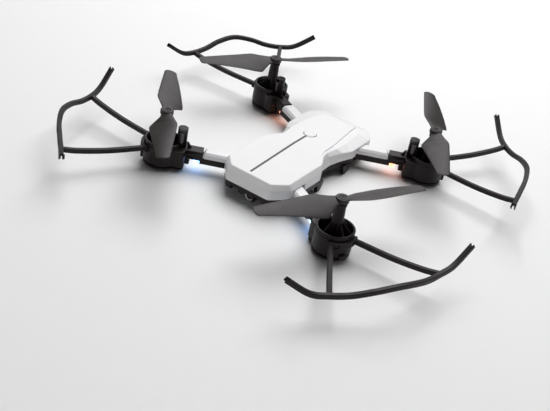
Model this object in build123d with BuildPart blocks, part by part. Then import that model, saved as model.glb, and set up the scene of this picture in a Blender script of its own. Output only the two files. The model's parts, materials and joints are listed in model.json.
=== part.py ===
from build123d import *

import os
from math import atan2, cos, degrees, hypot, radians, sin

# A folding mini quadcopter with geared motors and bolt-on blade guards.
# Millimetres, +Z up, nose towards -Y, the drone's left side towards +X.
# The origin is on the floor under the middle of the body.

# ---- driving dimensions: the whole craft ----
MOTOR_X = 70.5  # propeller axis, sideways from the middle
MOTOR_Y = 66.5  # propeller axis, forwards or backwards from the middle
ARM_ANGLE = 28.4  # how far each arm points away from straight sideways
PIVOT_X = 20.0  # fold pivot, sideways from the middle
ARM_LENGTH = (MOTOR_X - PIVOT_X) / cos(radians(ARM_ANGLE))
PIVOT_Y = MOTOR_Y - ARM_LENGTH * sin(radians(ARM_ANGLE))
FOLD_SWING = 26.0  # swing that the shells leave room for, with the guards fitted
GAP = 0.3  # clearance between moving neighbours

# ---- body heights and outline ----
FLOOR_Z = 5.6  # underside of the belly
BELLY_ROUND = 1.4  # height over which the belly rounds in at its bottom edge
SPLIT_Z = 12.0  # joint between the lower and the upper shell
CREASE_Z = 19.0  # top of the upper shell's upright wall
DECK_Z = 22.6  # flat deck over the front half
TAIL_DECK_Z = 20.3  # deck height at the tail
DECK_BEND_Y = -4.0  # where the deck starts to fall towards the tail
WALL = 1.5
NOSE_Y = -64.6
TAIL_Y = 65.5
# half outlines, x then y, nose to tail
WALL_HALF = [
    (17.5, NOSE_Y), (27.2, -52.5), (28.0, -15.0), (21.4, -1.0), (20.8, 7.5),
    (24.8, 19.0), (28.0, 28.5), (28.0, 54.5), (20.5, TAIL_Y),
]
DECK_HALF = [
    (16.4, -61.6), (24.8, -52.6), (25.6, -12.5), (20.0, -1.4), (18.4, 7.0),
    (19.9, 20.0), (20.3, 31.0), (18.0, 53.0), (16.0, 59.8),
]
BELLY_HALF = [
    (16.0, -62.4), (25.6, -51.4), (26.2, -15.8), (20.6, -2.6), (20.2, 7.0),
    (24.2, 18.0), (26.6, 26.0), (26.6, 53.0), (19.4, 63.4),
]

# ---- folding arm ----
ARM_HALF_WIDTH = 4.6
ARM_BASE_Z = 7.7  # underside of the black arm
ARM_SEAM_Z = 12.6  # where the white cover sits on the arm
ARM_TOP_Z = 17.1
NECK_HALF_WIDTH = 4.4
NECK_BASE_Z = 9.7
NECK_TOP_Z = 16.7
COVER_END = -28.5  # outboard end of the cover, measured inwards from the motor axis
COVER_ROOT = -47.0
PIVOT_RING_RADIUS = 6.2
PIVOT_BOSS_RADIUS = 3.0
PIVOT_FIT = 0.05
RING_BASE_Z = 8.2
RING_TOP_Z = 16.2

# ---- pod, gears and motor ----
POD_RADIUS = 13.0
POD_BASE_Z = 3.2
POD_RIM_Z = 20.0
POD_WALL = 1.4
GEAR_ROOM_TOP_Z = 9.4
CUP_FLOOR_Z = 11.0
TOWER_TOP_Z = 38.4
TOWER_BASE_RADIUS = 4.7
TOWER_TOP_RADIUS = 3.5
GEAR_MODULE = 0.4
PINION_TEETH = 9
GEAR_TEETH = 54
GEAR_Z = 4.4
GEAR_THICK = 2.6
CENTRES = GEAR_MODULE * (PINION_TEETH + GEAR_TEETH) / 2 + 0.05
MOTOR_RADIUS = 3.5
MOTOR_BASE_Z = 9.4
MOTOR_TOP_Z = 28.6
SLEEVE_RADIUS = 5.0
SLEEVE_TOP_Z = 29.2
COVER_PLATE_Z = 1.8
FOOT_NUB_OUT = 14.6
SHAFT_RADIUS = 1.0
SHAFT_FIT = 0.03
BUSH_RADIUS = 2.2
BUSH_HEIGHT = 3.0

# ---- propeller ----
HUB_RADIUS = 5.0
HUB_BASE_Z = 38.9
HUB_TOP_Z = 42.8
BLADE_Z = 40.9
BLADE_THICK = 1.3
PROP_RADIUS = 62.0
# radius, leading half width, trailing half width, pitch in degrees, height
BLADE_STATIONS = [
    (1.6, 3.4, 3.6, 12.0, 40.9), (9.0, 5.2, 7.0, 16.0, 40.6), (18.0, 7.4, 10.6, 16.0, 40.4),
    (30.0, 7.4, 9.8, 13.0, 40.5), (44.0, 6.2, 7.2, 10.5, 40.8), (56.0, 4.7, 5.2, 8.5, BLADE_Z),
    (60.5, 3.2, 3.6, 8.0, BLADE_Z), (PROP_RADIUS, 1.0, 1.2, 8.0, BLADE_Z),
]

# ---- blade guard ----
GUARD_BAR_RADIUS = 71.2  # from the propeller axis to the middle of the bar
GUARD_BAR_WIDTH = 3.0
GUARD_BAR_HEIGHT = 3.0
GUARD_TIP_ANGLE = 51.5
GUARD_JOIN_ANGLE = 33.2
STRUT_WIDTH = 3.4
STRUT_ROOT = (10.5, 8.6)  # where a strut leaves the pod, from the propeller axis
# height of a strut's centre by its share of the way to the bar
STRUT_SAG = [(0.0, 14.8), (0.45, 15.2), (0.8, 17.2), (1.0, 19.6)]
YOKE_DEPTH = 2.2
YOKE_BASE_Z = 12.6
YOKE_TOP_Z = 16.8

# ---- fasteners ----
SCREW_RADIUS = 0.9
SCREW_HEAD_RADIUS = 1.7
SCREW_HEAD_HEIGHT = 1.2
SCREW_SLACK = 0.05

# The four corners: name, side (+1 left), end (-1 nose), blade direction, spin seen from above.
CORNERS = [
    ("front_left", 1, -1, 61.0, -1),
    ("front_right", -1, -1, 127.0, 1),
    ("rear_left", 1, 1, 121.5, 1),
    ("rear_right", -1, 1, 55.0, -1),
]

os.makedirs("parts", exist_ok=True)


def save(builder, name):
    builder.part.label = name
    export_step(builder.part, f"parts/{name}.step")


def arm_plane(side, end):
    """Plane on the floor under a propeller axis, x pointing outwards along the arm."""
    along = (side * cos(radians(ARM_ANGLE)), end * sin(radians(ARM_ANGLE)), 0)
    return Plane(origin=(side * MOTOR_X, end * MOTOR_Y, 0), x_dir=along, z_dir=(0, 0, 1))


def upright(at, turn=0.0, out=0.0):
    """Plane standing on the arm's centre line: x outwards, y up, turned about the motor axis."""
    turned = Plane(at.origin, x_dir=at.x_dir, z_dir=at.z_dir).rotated((0, 0, turn))
    start = turned.origin + turned.x_dir * out
    return Plane(origin=start, x_dir=turned.x_dir, z_dir=-turned.y_dir)


def facing(at, turn, out, height):
    """Plane looking outwards from the motor axis, at a distance and a height."""
    turned = Plane(at.origin, x_dir=at.x_dir, z_dir=at.z_dir).rotated((0, 0, turn))
    start = turned.origin + turned.x_dir * out + turned.z_dir * height
    return Plane(origin=start, x_dir=turned.y_dir, z_dir=turned.x_dir)


def full_outline(half, inset=0.0):
    """Both sides of a half outline, drawn inwards by an inset."""
    middle = (NOSE_Y + TAIL_Y) / 2
    reach = (TAIL_Y - NOSE_Y) / 2
    left = [(x - inset, middle + (y - middle) * (reach - inset) / reach) for x, y in half]
    return left + [(-x, y) for x, y in reversed(left)]


def outline_block(half, low, high, inset=0.0):
    """Upright block over a half outline, added to the part being built."""
    with BuildSketch(Plane.XY.offset(low)) as plan:
        Polygon(*full_outline(half, inset), align=None)
    extrude(plan.sketch, amount=high - low)


def arm_strip(at, start, stop, half_width, low, high, mode=Mode.ADD):
    """Straight bar along the arm between two distances from the motor axis."""
    with BuildSketch(at.offset(low)) as plan:
        with Locations(((start + stop) / 2, 0)):
            Rectangle(abs(stop - start), 2 * half_width)
    extrude(plan.sketch, amount=high - low, mode=mode)


def disc(at, x, y, radius, low, high, mode=Mode.ADD):
    """Upright cylinder on a plane parallel to the floor."""
    with BuildSketch(at.offset(low)) as plan:
        with Locations((x, y)):
            Circle(radius)
    extrude(plan.sketch, amount=high - low, mode=mode)


def swing_room(half_width, low, high):
    """Cuts the room that the four arms need to swing through the shell's sides."""
    for name, side, end, blade, spin in CORNERS:
        pivot = Plane(origin=(side * PIVOT_X, end * PIVOT_Y, low), z_dir=(0, 0, 1))
        first = degrees(atan2(end * sin(radians(ARM_ANGLE)), side * cos(radians(ARM_ANGLE))))
        back = -end * side
        with BuildSketch(pivot) as sweep_room:
            Circle(PIVOT_RING_RADIUS + 2 * GAP)
            for step in range(4):
                turn = first + back * FOLD_SWING * step / 3
                with Locations(Location((0, 0, 0), turn)):
                    Rectangle(18, 2 * half_width, align=(Align.MIN, Align.CENTER))
        extrude(sweep_room.sketch, amount=high - low, mode=Mode.SUBTRACT)


# ---- body ----
SHELL_SCREWS = [(side * PIVOT_X, end * PIVOT_Y) for n, side, end, b, s in CORNERS]
BUTTON_X = -4.2
BUTTON_Y = 19.3
BUTTON_RADIUS = 4.7
BUTTON_STAND = 0.5  # how far the button stands above the deck
BUTTON_SLACK = 0.25
BOARD_Z = 17.0
BOARD_THICK = 1.2
BOARD_TOP_Z = BOARD_Z + BOARD_THICK
BOARD_MIDDLE_Y = -9.0
BOARD_WIDTH = 23.0
BOARD_LENGTH = 66.0
SWITCH_HEIGHT = 0.7
POST_RADIUS = 2.6
CAMERA_DEPTH = 9.0
CAMERA_Y = -57.6
CAMERA_Z = 4.3
CAMERA_RADIUS = 3.9
LENS_RADIUS = 2.4
BATTERY_HALF_WIDTH = 11.5
BATTERY_BASE_Z = 7.3
BATTERY_TOP_Z = 15.8
BATTERY_FRONT_Y = 2.0
FOOT_SPOTS = [(25.2, -10.5, 3.0), (25.6, 26.0, 4.2)]


def deck_height(y):
    if y < DECK_BEND_Y:
        return DECK_Z
    fall = (DECK_Z - TAIL_DECK_Z) / (DECK_HALF[-1][1] - DECK_BEND_Y)
    return DECK_Z - fall * (y - DECK_BEND_Y)


def hull_of_shell(inset):
    """Closed outer form of the upper shell, or its cavity when drawn inwards."""
    outline_block(WALL_HALF, SPLIT_Z - (1 if inset else 0), CREASE_Z - inset * 0.4, inset)
    with BuildSketch(Plane.XY.offset(CREASE_Z - inset * 0.4)) as lower:
        Polygon(*full_outline(WALL_HALF, inset), align=None)
    with BuildSketch(Plane.XY.offset(DECK_Z - inset)) as upper:
        Polygon(*full_outline(DECK_HALF, inset * 0.6), align=None)
    loft([lower.sketch, upper.sketch], ruled=True)
    # the deck falls towards the tail
    tail_fall = Plane(
        origin=(0, DECK_BEND_Y, DECK_Z - inset),
        x_dir=(1, 0, 0),
        z_dir=(0, DECK_Z - TAIL_DECK_Z, DECK_HALF[-1][1] - DECK_BEND_Y),
    )
    split(bisect_by=tail_fall, keep=Keep.BOTTOM)


def make_top_shell():
    with BuildPart() as cavity:
        hull_of_shell(WALL)
    with BuildPart() as shell:
        hull_of_shell(0.0)
        add(cavity.part, mode=Mode.SUBTRACT)
        # posts that the long screws pull against
        for x, y in SHELL_SCREWS:
            disc(Plane.XY, x, y, POST_RADIUS, RING_TOP_Z + 0.4, deck_height(y) - 0.9)
            disc(Plane.XY, x, y, SCREW_RADIUS + SCREW_SLACK, RING_TOP_Z, CREASE_Z - 0.2, Mode.SUBTRACT)
        # rails that carry the circuit board
        for side in (-1, 1):
            with Locations((side * 12.0, -16.0, BOARD_TOP_Z)):
                Box(1.6, 50, 4.0, align=(Align.CENTER, Align.CENTER, Align.MIN))
        swing_room(ARM_HALF_WIDTH + 2 * GAP, SPLIT_Z - 1, ARM_TOP_Z + 2 * GAP)
        # power button opening
        with BuildSketch(Plane.XY.offset(CREASE_Z)):
            with Locations((BUTTON_X, BUTTON_Y)):
                Circle(BUTTON_RADIUS + BUTTON_SLACK)
        extrude(amount=6, mode=Mode.SUBTRACT)
        # battery mouth in the tail
        with Locations((0, TAIL_Y, SPLIT_Z - 1)):
            Box(2 * BATTERY_HALF_WIDTH + 1, 8, BATTERY_TOP_Z + GAP - SPLIT_Z + 1,
                align=(Align.CENTER, Align.CENTER, Align.MIN), mode=Mode.SUBTRACT)
    save(shell, "top_shell")


def make_bottom_shell():
    with BuildPart() as shell:
        outline_block(BELLY_HALF, FLOOR_Z + BELLY_ROUND, SPLIT_Z)
        # the belly rounds in below its side walls
        with BuildSketch(Plane.XY.offset(FLOOR_Z)):
            Polygon(*full_outline(BELLY_HALF, 1.6), align=None)
        with BuildSketch(Plane.XY.offset(FLOOR_Z + BELLY_ROUND)):
            Polygon(*full_outline(BELLY_HALF), align=None)
        loft(ruled=True)
        with BuildSketch(Plane.XY.offset(FLOOR_Z + WALL)):
            Polygon(*full_outline(BELLY_HALF, WALL), align=None)
        extrude(amount=SPLIT_Z, mode=Mode.SUBTRACT)
        # landing feet
        for x, y, half in FOOT_SPOTS:
            for side in (-1, 1):
                with BuildSketch(Plane.YZ.offset(side * x - 1.0)):
                    Polygon((y - half, FLOOR_Z + BELLY_ROUND), (y - 1.2, 0), (y + 1.2, 0),
                            (y + half, FLOOR_Z + BELLY_ROUND), align=None)
                extrude(amount=2.0)
        # camera pod under the nose
        with BuildSketch(Plane.XZ.offset(-CAMERA_Y + 0.4)):
            with Locations((0, CAMERA_Z)):
                Circle(CAMERA_RADIUS + 1.0)
            with Locations((0, (CAMERA_Z + FLOOR_Z + 2) / 2 + 1)):
                Rectangle(2 * CAMERA_RADIUS + 2, 4)
        extrude(amount=-12)
        split(bisect_by=Plane.XY, keep=Keep.TOP)
        with BuildSketch(Plane.XZ.offset(-NOSE_Y + 1)):
            with Locations((0, CAMERA_Z)):
                Circle(CAMERA_RADIUS)
        extrude(amount=NOSE_Y - 1 - CAMERA_Y - CAMERA_DEPTH, mode=Mode.SUBTRACT)
        swing_room(ARM_HALF_WIDTH + 2 * GAP, ARM_BASE_Z - GAP, SPLIT_Z + 1)
        # pivot bosses for the arms, bored for the long screws
        for x, y in SHELL_SCREWS:
            disc(Plane.XY, x, y, PIVOT_BOSS_RADIUS + 2.0, FLOOR_Z + 0.4, RING_BASE_Z - 0.1)
            disc(Plane.XY, x, y, PIVOT_BOSS_RADIUS, FLOOR_Z + 0.4, RING_TOP_Z + 0.4)
            disc(Plane.XY, x, y, SCREW_HEAD_RADIUS + 0.1, FLOOR_Z, FLOOR_Z + 2.2, Mode.SUBTRACT)
            disc(Plane.XY, x, y, SCREW_RADIUS + SCREW_SLACK, FLOOR_Z, RING_TOP_Z + 1, Mode.SUBTRACT)
        # side rails of the battery bay
        for side in (-1, 1):
            with Locations((side * (BATTERY_HALF_WIDTH + GAP + 0.6), 31, FLOOR_Z + 1)):
                Box(1.2, 56, 7.0, align=(Align.CENTER, Align.CENTER, Align.MIN))
        with Locations((0, BATTERY_FRONT_Y - 1.0, FLOOR_Z + 1)):
            Box(2 * BATTERY_HALF_WIDTH + 3, 1.2, 7.0, align=(Align.CENTER, Align.CENTER, Align.MIN))
        # battery mouth in the tail
        with Locations((0, TAIL_Y - 2, BATTERY_BASE_Z - GAP)):
            Box(2 * BATTERY_HALF_WIDTH + 2 * GAP, 10, 12,
                align=(Align.CENTER, Align.CENTER, Align.MIN), mode=Mode.SUBTRACT)
    save(shell, "bottom_shell")


def make_body_screws():
    with BuildPart() as screws:
        for x, y in SHELL_SCREWS:
            disc(Plane.XY, x, y, SCREW_HEAD_RADIUS, FLOOR_Z + 0.6, FLOOR_Z + 0.6 + SCREW_HEAD_HEIGHT)
            disc(Plane.XY, x, y, SCREW_RADIUS, FLOOR_Z + 1.6, CREASE_Z - 0.4)
    save(screws, "body_screws")


def make_power_button():
    low = BOARD_TOP_Z + 1.6
    with BuildPart() as button:
        disc(Plane.XY, BUTTON_X, BUTTON_Y, BUTTON_RADIUS, low, deck_height(BUTTON_Y) + BUTTON_STAND)
        fillet(button.edges().group_by(Axis.Z)[-1], 0.4)
    save(button, "power_button")


def make_circuit_board():
    with BuildPart() as board:
        with BuildSketch(Plane.XY.offset(BOARD_Z)):
            with Locations((0, BOARD_MIDDLE_Y)):
                RectangleRounded(BOARD_WIDTH, BOARD_LENGTH, 2)
        extrude(amount=BOARD_THICK)
        # tact switch under the button, and the two tallest chips
        with Locations((BUTTON_X, BUTTON_Y, BOARD_TOP_Z)):
            Box(4, 4, SWITCH_HEIGHT, align=(Align.CENTER, Align.CENTER, Align.MIN))
        with Locations((0, -8, BOARD_TOP_Z), (2, -26, BOARD_TOP_Z)):
            Box(7, 7, 1.1, align=(Align.CENTER, Align.CENTER, Align.MIN))
        with Locations((0, -18, BOARD_Z)):
            Box(9, 6, 2.0, align=(Align.CENTER, Align.CENTER, Align.MAX))
    save(board, "circuit_board")


def make_battery():
    with BuildPart() as pack:
        with BuildSketch(Plane.XZ.offset(-BATTERY_FRONT_Y - 0.4)):
            with Locations((0, (BATTERY_BASE_Z + BATTERY_TOP_Z) / 2)):
                RectangleRounded(2 * BATTERY_HALF_WIDTH, BATTERY_TOP_Z - BATTERY_BASE_Z, 1.5)
        extrude(amount=-(TAIL_Y - BATTERY_FRONT_Y - 1.0))
        # thumb ridges on the end that shows
        for step in range(3):
            with Locations((0, TAIL_Y - 2.5 - 2.0 * step, BATTERY_BASE_Z)):
                Box(12, 0.8, 0.5, align=(Align.CENTER, Align.CENTER, Align.MIN), mode=Mode.SUBTRACT)
    save(pack, "battery_pack")


def make_camera():
    front = Plane.XZ.offset(-CAMERA_Y)
    with BuildPart() as housing:
        with BuildSketch(front.offset(1.2)):
            with Locations((0, CAMERA_Z)):
                Circle(CAMERA_RADIUS - 0.05)
        extrude(amount=-CAMERA_DEPTH)
        with BuildSketch(front.offset(1.2)):
            with Locations((0, CAMERA_Z)):
                Circle(LENS_RADIUS)
        extrude(amount=-2.0, mode=Mode.SUBTRACT)
        split(bisect_by=Plane.XY.offset(0.42), keep=Keep.TOP)
    save(housing, "camera_housing")
    with BuildPart() as lens:
        with BuildSketch(front.offset(-0.8)):
            with Locations((0, CAMERA_Z)):
                Circle(LENS_RADIUS)
        extrude(amount=1.5)
        fillet(lens.edges().group_by(Axis.Y)[0], 0.6)
    save(lens, "camera_lens")


# ---- arm and pod ----
COVER_SCREW_SPOTS = [(-13.3, 6.6), (-13.3, -6.6)]
GUARD_SCREW_ANGLES = [-24.0, 24.0]
GUARD_SCREW_Z = (YOKE_BASE_Z + YOKE_TOP_Z) / 2
GEAR_ROOM_RADIUS = GEAR_MODULE * (GEAR_TEETH / 2 + 1) + 0.45
PINION_ROOM_RADIUS = 3.0
MOTOR_AT = -CENTRES


def pod_outline(grow=0.0):
    """Plan of the pod, drawn into the open sketch."""
    Circle(POD_RADIUS + grow)
    with Locations((-8.0, 0)):
        RectangleRounded(17.6 + 2 * grow, 19 + 2 * grow, 4.0)


def make_arm(name, at):
    with BuildPart() as arm:
        with BuildSketch(at.offset(POD_BASE_Z)):
            pod_outline()
        extrude(amount=CUP_FLOOR_Z - POD_BASE_Z)
        # inboard half of the pod stands as high as the neck
        with BuildSketch(at.offset(CUP_FLOOR_Z)):
            pod_outline()
        extrude(amount=NECK_TOP_Z - CUP_FLOOR_Z)
        disc(at, 0, 0, POD_RADIUS, NECK_TOP_Z, POD_RIM_Z)
        disc(at, MOTOR_AT, 0, SLEEVE_RADIUS, NECK_TOP_Z, SLEEVE_TOP_Z)
        # round cup with ribs that brace the bearing tower
        disc(at, 0, 0, POD_RADIUS - POD_WALL, CUP_FLOOR_Z, POD_RIM_Z, Mode.SUBTRACT)
        disc(at, MOTOR_AT, 0, SLEEVE_RADIUS, CUP_FLOOR_Z, SLEEVE_TOP_Z)
        with BuildSketch(upright(at)):
            Polygon((0, CUP_FLOOR_Z - 0.2), (TOWER_BASE_RADIUS, CUP_FLOOR_Z - 0.2),
                    (TOWER_BASE_RADIUS - 0.4, POD_RIM_Z), (TOWER_TOP_RADIUS, TOWER_TOP_Z),
                    (0, TOWER_TOP_Z), align=None)
        revolve(axis=Axis(at.origin, at.z_dir))
        for turn in range(-120, 121, 40):
            with BuildSketch(upright(at, turn)):
                Polygon((3.0, CUP_FLOOR_Z - 0.2), (POD_RADIUS - 0.6, CUP_FLOOR_Z - 0.2),
                        (POD_RADIUS - 0.6, POD_RIM_Z - 4.0), (4.0, POD_RIM_Z + 3.0),
                        (3.0, POD_RIM_Z + 3.0), align=None)
            extrude(amount=0.5, both=True)
        # neck and arm
        arm_strip(at, -12.0, COVER_END, NECK_HALF_WIDTH, NECK_BASE_Z, NECK_TOP_Z)
        arm_strip(at, COVER_END + 1.5, -ARM_LENGTH, ARM_HALF_WIDTH, ARM_BASE_Z, ARM_SEAM_Z)
        disc(at, -ARM_LENGTH, 0, PIVOT_RING_RADIUS, RING_BASE_Z, RING_TOP_Z)
        disc(at, -ARM_LENGTH, 0, PIVOT_RING_RADIUS + 0.2, ARM_BASE_Z - 1, RING_BASE_Z, Mode.SUBTRACT)
        pivot_bore = PIVOT_BOSS_RADIUS + PIVOT_FIT
        disc(at, -ARM_LENGTH, 0, pivot_bore, RING_BASE_Z - 1, RING_TOP_Z + 1, Mode.SUBTRACT)
        # end nubs and the lamp's holder
        arm_strip(at, POD_RADIUS - 2, FOOT_NUB_OUT, 2.4, POD_BASE_Z, POD_BASE_Z + 4)
        arm_strip(at, -16.0, -19.6, 2.4, 4.2, NECK_BASE_Z + 1)
        # gear room, open below
        disc(at, 0, 0, GEAR_ROOM_RADIUS, POD_BASE_Z, GEAR_ROOM_TOP_Z, Mode.SUBTRACT)
        disc(at, MOTOR_AT, 0, PINION_ROOM_RADIUS, POD_BASE_Z, GEAR_ROOM_TOP_Z, Mode.SUBTRACT)
        # motor bore and shaft bore with its two bush seats
        disc(at, MOTOR_AT, 0, MOTOR_RADIUS, GEAR_ROOM_TOP_Z - 0.5, SLEEVE_TOP_Z + 1, Mode.SUBTRACT)
        disc(at, 0, 0, SHAFT_RADIUS + 0.4, GEAR_ROOM_TOP_Z - 1, TOWER_TOP_Z + 1, Mode.SUBTRACT)
        disc(at, 0, 0, BUSH_RADIUS, GEAR_ROOM_TOP_Z - 1, GEAR_ROOM_TOP_Z + BUSH_HEIGHT, Mode.SUBTRACT)
        disc(at, 0, 0, BUSH_RADIUS, TOWER_TOP_Z - BUSH_HEIGHT, TOWER_TOP_Z + 1, Mode.SUBTRACT)
        # screw pilots
        for x, y in COVER_SCREW_SPOTS:
            disc(at, x, y, SCREW_RADIUS, POD_BASE_Z - 1, POD_BASE_Z + 5, Mode.SUBTRACT)
        for turn in GUARD_SCREW_ANGLES:
            with BuildSketch(facing(at, turn, POD_RADIUS - POD_WALL - 1, GUARD_SCREW_Z)):
                Circle(SCREW_RADIUS)
            extrude(amount=5, mode=Mode.SUBTRACT)
    save(arm, f"arm_{name}")


def make_arm_cover(name, at):
    slope = 1.7
    with BuildPart() as cover:
        arm_strip(at, COVER_END, COVER_ROOT, ARM_HALF_WIDTH + 0.3, ARM_SEAM_Z, ARM_TOP_Z)
        top = cover.faces().sort_by(Axis.Z)[-1]
        long_edges = top.edges().sort_by(SortBy.LENGTH)[-2:]
        chamfer(long_edges, 1.1)
        # the outboard end slopes back
        with BuildSketch(upright(at)):
            Polygon((COVER_END + 1, ARM_SEAM_Z + 1.2), (COVER_END + 1, ARM_TOP_Z + 1),
                    (COVER_END - slope, ARM_TOP_Z + 1), (COVER_END - slope, ARM_TOP_Z),
                    (COVER_END, ARM_SEAM_Z + 1.2), align=None)
        extrude(amount=10, both=True, mode=Mode.SUBTRACT)
    save(cover, f"arm_cover_{name}")


def make_gear_cover(name, at):
    with BuildPart() as plate:
        with BuildSketch(at.offset(COVER_PLATE_Z)):
            pod_outline(-0.4)
        extrude(amount=POD_BASE_Z - COVER_PLATE_Z)
        disc(at, 0, 0, 3.2, COVER_PLATE_Z, POD_BASE_Z, Mode.SUBTRACT)
        # curved vents in a ring
        with BuildSketch(at.offset(COVER_PLATE_Z)):
            with PolarLocations(7.4, 5, start_angle=0):
                SlotOverall(5.6, 1.6, rotation=90)
        extrude(amount=POD_BASE_Z - COVER_PLATE_Z, mode=Mode.SUBTRACT)
        for x, y in COVER_SCREW_SPOTS:
            disc(at, x, y, SCREW_RADIUS + SCREW_SLACK, COVER_PLATE_Z, POD_BASE_Z, Mode.SUBTRACT)
            disc(at, x, y, SCREW_HEAD_RADIUS + 0.1, COVER_PLATE_Z, COVER_PLATE_Z + 0.8, Mode.SUBTRACT)
    save(plate, f"gear_cover_{name}")


def make_motor(name, at):
    with BuildPart() as motor:
        disc(at, MOTOR_AT, 0, MOTOR_RADIUS - SHAFT_FIT, MOTOR_BASE_Z, MOTOR_TOP_Z)
        fillet(motor.edges().group_by(Axis.Z)[-1], 0.5)
        disc(at, MOTOR_AT, 0, 0.5 + SHAFT_FIT, MOTOR_BASE_Z, MOTOR_BASE_Z + 3, Mode.SUBTRACT)
    save(motor, f"motor_{name}")


def gear_profile(teeth, turn):
    """Straight-flanked teeth drawn into the open sketch."""
    pitch = GEAR_MODULE * teeth / 2
    root = pitch - 1.2 * GEAR_MODULE
    tip = pitch + 0.85 * GEAR_MODULE
    step = 360 / teeth
    points = []
    for tooth in range(teeth):
        middle = turn + tooth * step
        for radius, part in ((root, -0.36), (tip, -0.13), (tip, 0.13), (root, 0.36)):
            angle = radians(middle + part * step)
            points.append((radius * cos(angle), radius * sin(angle)))
    Polygon(*points, align=None)


def make_main_gear(name, at):
    with BuildPart() as gear:
        with BuildSketch(at.offset(GEAR_Z)):
            gear_profile(GEAR_TEETH, 0.0)
        extrude(amount=GEAR_THICK)
        disc(at, 0, 0, 2.4, GEAR_Z + GEAR_THICK, GEAR_ROOM_TOP_Z - 0.2)
        with BuildSketch(at.offset(GEAR_Z)):
            with PolarLocations(6.2, 6):
                Circle(1.9)
        extrude(amount=GEAR_THICK, mode=Mode.SUBTRACT)
        disc(at, 0, 0, SHAFT_RADIUS, GEAR_Z - 1, GEAR_ROOM_TOP_Z, Mode.SUBTRACT)
    save(gear, f"main_gear_{name}")


def make_pinion(name, at):
    axis_plane = Plane(origin=at.origin + at.x_dir * MOTOR_AT, x_dir=at.x_dir, z_dir=at.z_dir)
    with BuildPart() as pinion:
        with BuildSketch(axis_plane.offset(GEAR_Z - 0.4)):
            gear_profile(PINION_TEETH, 180 / PINION_TEETH)
        extrude(amount=GEAR_THICK + 0.8)
        disc(axis_plane, 0, 0, 0.5, GEAR_Z + GEAR_THICK, MOTOR_BASE_Z + 2.6)
    save(pinion, f"pinion_{name}")


def make_shaft(name, at):
    with BuildPart() as shaft:
        disc(at, 0, 0, SHAFT_RADIUS, GEAR_Z - 0.5, HUB_TOP_Z - 1.6)
        disc(at, 0, 0, 0.6, HUB_TOP_Z - 4.6, HUB_TOP_Z, Mode.SUBTRACT)
    save(shaft, f"prop_shaft_{name}")


def make_bushes(name, at):
    with BuildPart() as bushes:
        for low in (GEAR_ROOM_TOP_Z, TOWER_TOP_Z - BUSH_HEIGHT):
            disc(at, 0, 0, BUSH_RADIUS, low, low + BUSH_HEIGHT)
        disc(at, 0, 0, SHAFT_RADIUS + SHAFT_FIT, 0, TOWER_TOP_Z + 1, Mode.SUBTRACT)
    save(bushes, f"shaft_bushes_{name}")


def make_prop_screw(name, at):
    with BuildPart() as screw:
        disc(at, 0, 0, SCREW_HEAD_RADIUS, HUB_TOP_Z - 1.5, HUB_TOP_Z - 0.4)
        disc(at, 0, 0, 0.6, HUB_TOP_Z - 4.5, HUB_TOP_Z - 1.5)
        with BuildSketch(at.offset(HUB_TOP_Z - 0.9)):
            Rectangle(2.4, 0.5)
            Rectangle(0.5, 2.4)
        extrude(amount=1, mode=Mode.SUBTRACT)
    save(screw, f"prop_screw_{name}")


def blade_section(at, heading, radius, lead, trail, pitch, height):
    """Thin rounded section across a blade that turns anticlockwise."""
    out = Vector(cos(radians(heading)), sin(radians(heading)), 0)
    forward = Vector(-out.Y, out.X, 0)
    tilt = radians(pitch)
    chord = forward * cos(tilt) + Vector(0, 0, 1) * sin(tilt)
    start = Vector(at.origin.X, at.origin.Y, height) + out * radius
    thick = BLADE_THICK * (1.15 - 0.5 * radius / PROP_RADIUS)
    with BuildSketch(Plane(origin=start, x_dir=chord, z_dir=out)) as cut:
        with Locations(((lead - trail) / 2, 0)):
            Ellipse((lead + trail) / 2, thick / 2)
    return cut.sketch


def make_propeller(name, at, blade, spin):
    across = Vector(-sin(radians(blade)), cos(radians(blade)), 0)
    with BuildPart() as prop:
        disc(at, 0, 0, HUB_RADIUS, HUB_BASE_Z, HUB_TOP_Z)
        for heading in (blade, blade + 180):
            sections = [blade_section(at, heading, *station) for station in BLADE_STATIONS]
            vane = loft(sections, mode=Mode.PRIVATE)
            if spin < 0:
                vane = mirror(vane, about=Plane(origin=at.origin, z_dir=across), mode=Mode.PRIVATE)
            add(vane)
        disc(at, 0, 0, 2.6, HUB_BASE_Z - 6, HUB_BASE_Z, Mode.SUBTRACT)
        disc(at, 0, 0, SHAFT_RADIUS, HUB_BASE_Z - 1, HUB_TOP_Z - 1.6, Mode.SUBTRACT)
        disc(at, 0, 0, 0.6, HUB_TOP_Z - 2, HUB_TOP_Z, Mode.SUBTRACT)
        disc(at, 0, 0, SCREW_HEAD_RADIUS, HUB_TOP_Z - 1.5, HUB_TOP_Z + 2, Mode.SUBTRACT)
    save(prop, f"propeller_{name}")


def bar_point(angle, shift=0.0):
    """Point of the guard's bar seen from above, at an angle about the motor axis."""
    a = radians(angle)
    reach = GUARD_BAR_RADIUS - 13.5 * a**2 + 62.4 * a**4 - 30.1 * a**6 + shift
    return (reach * cos(a), reach * sin(a))


# height of the guard's bar by angle: raised in the middle, low at the struts, up at the tips
BAR_HEIGHTS = [
    (0, 26.0), (12, 23.9), (23, 20.6), (GUARD_JOIN_ANGLE, 19.7), (42, 21.4), (GUARD_TIP_ANGLE, 31.2),
]
BAR_ANGLES = [0, 12, 24, 36, 44, GUARD_TIP_ANGLE]


def both_ways(points):
    """Points of one side, led by their mirror images, so a curve runs from tip to tip."""
    return [(x, -y) for x, y in reversed(points[1:])] + points


def band_between(low, high):
    """Closed band between two curves, drawn into the open sketch."""
    with BuildLine() as edge:
        Spline(*low)
        Line(low[-1], high[-1])
        Spline(*reversed(high))
        Line(high[0], low[0])
    make_face(edge.line)


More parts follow.
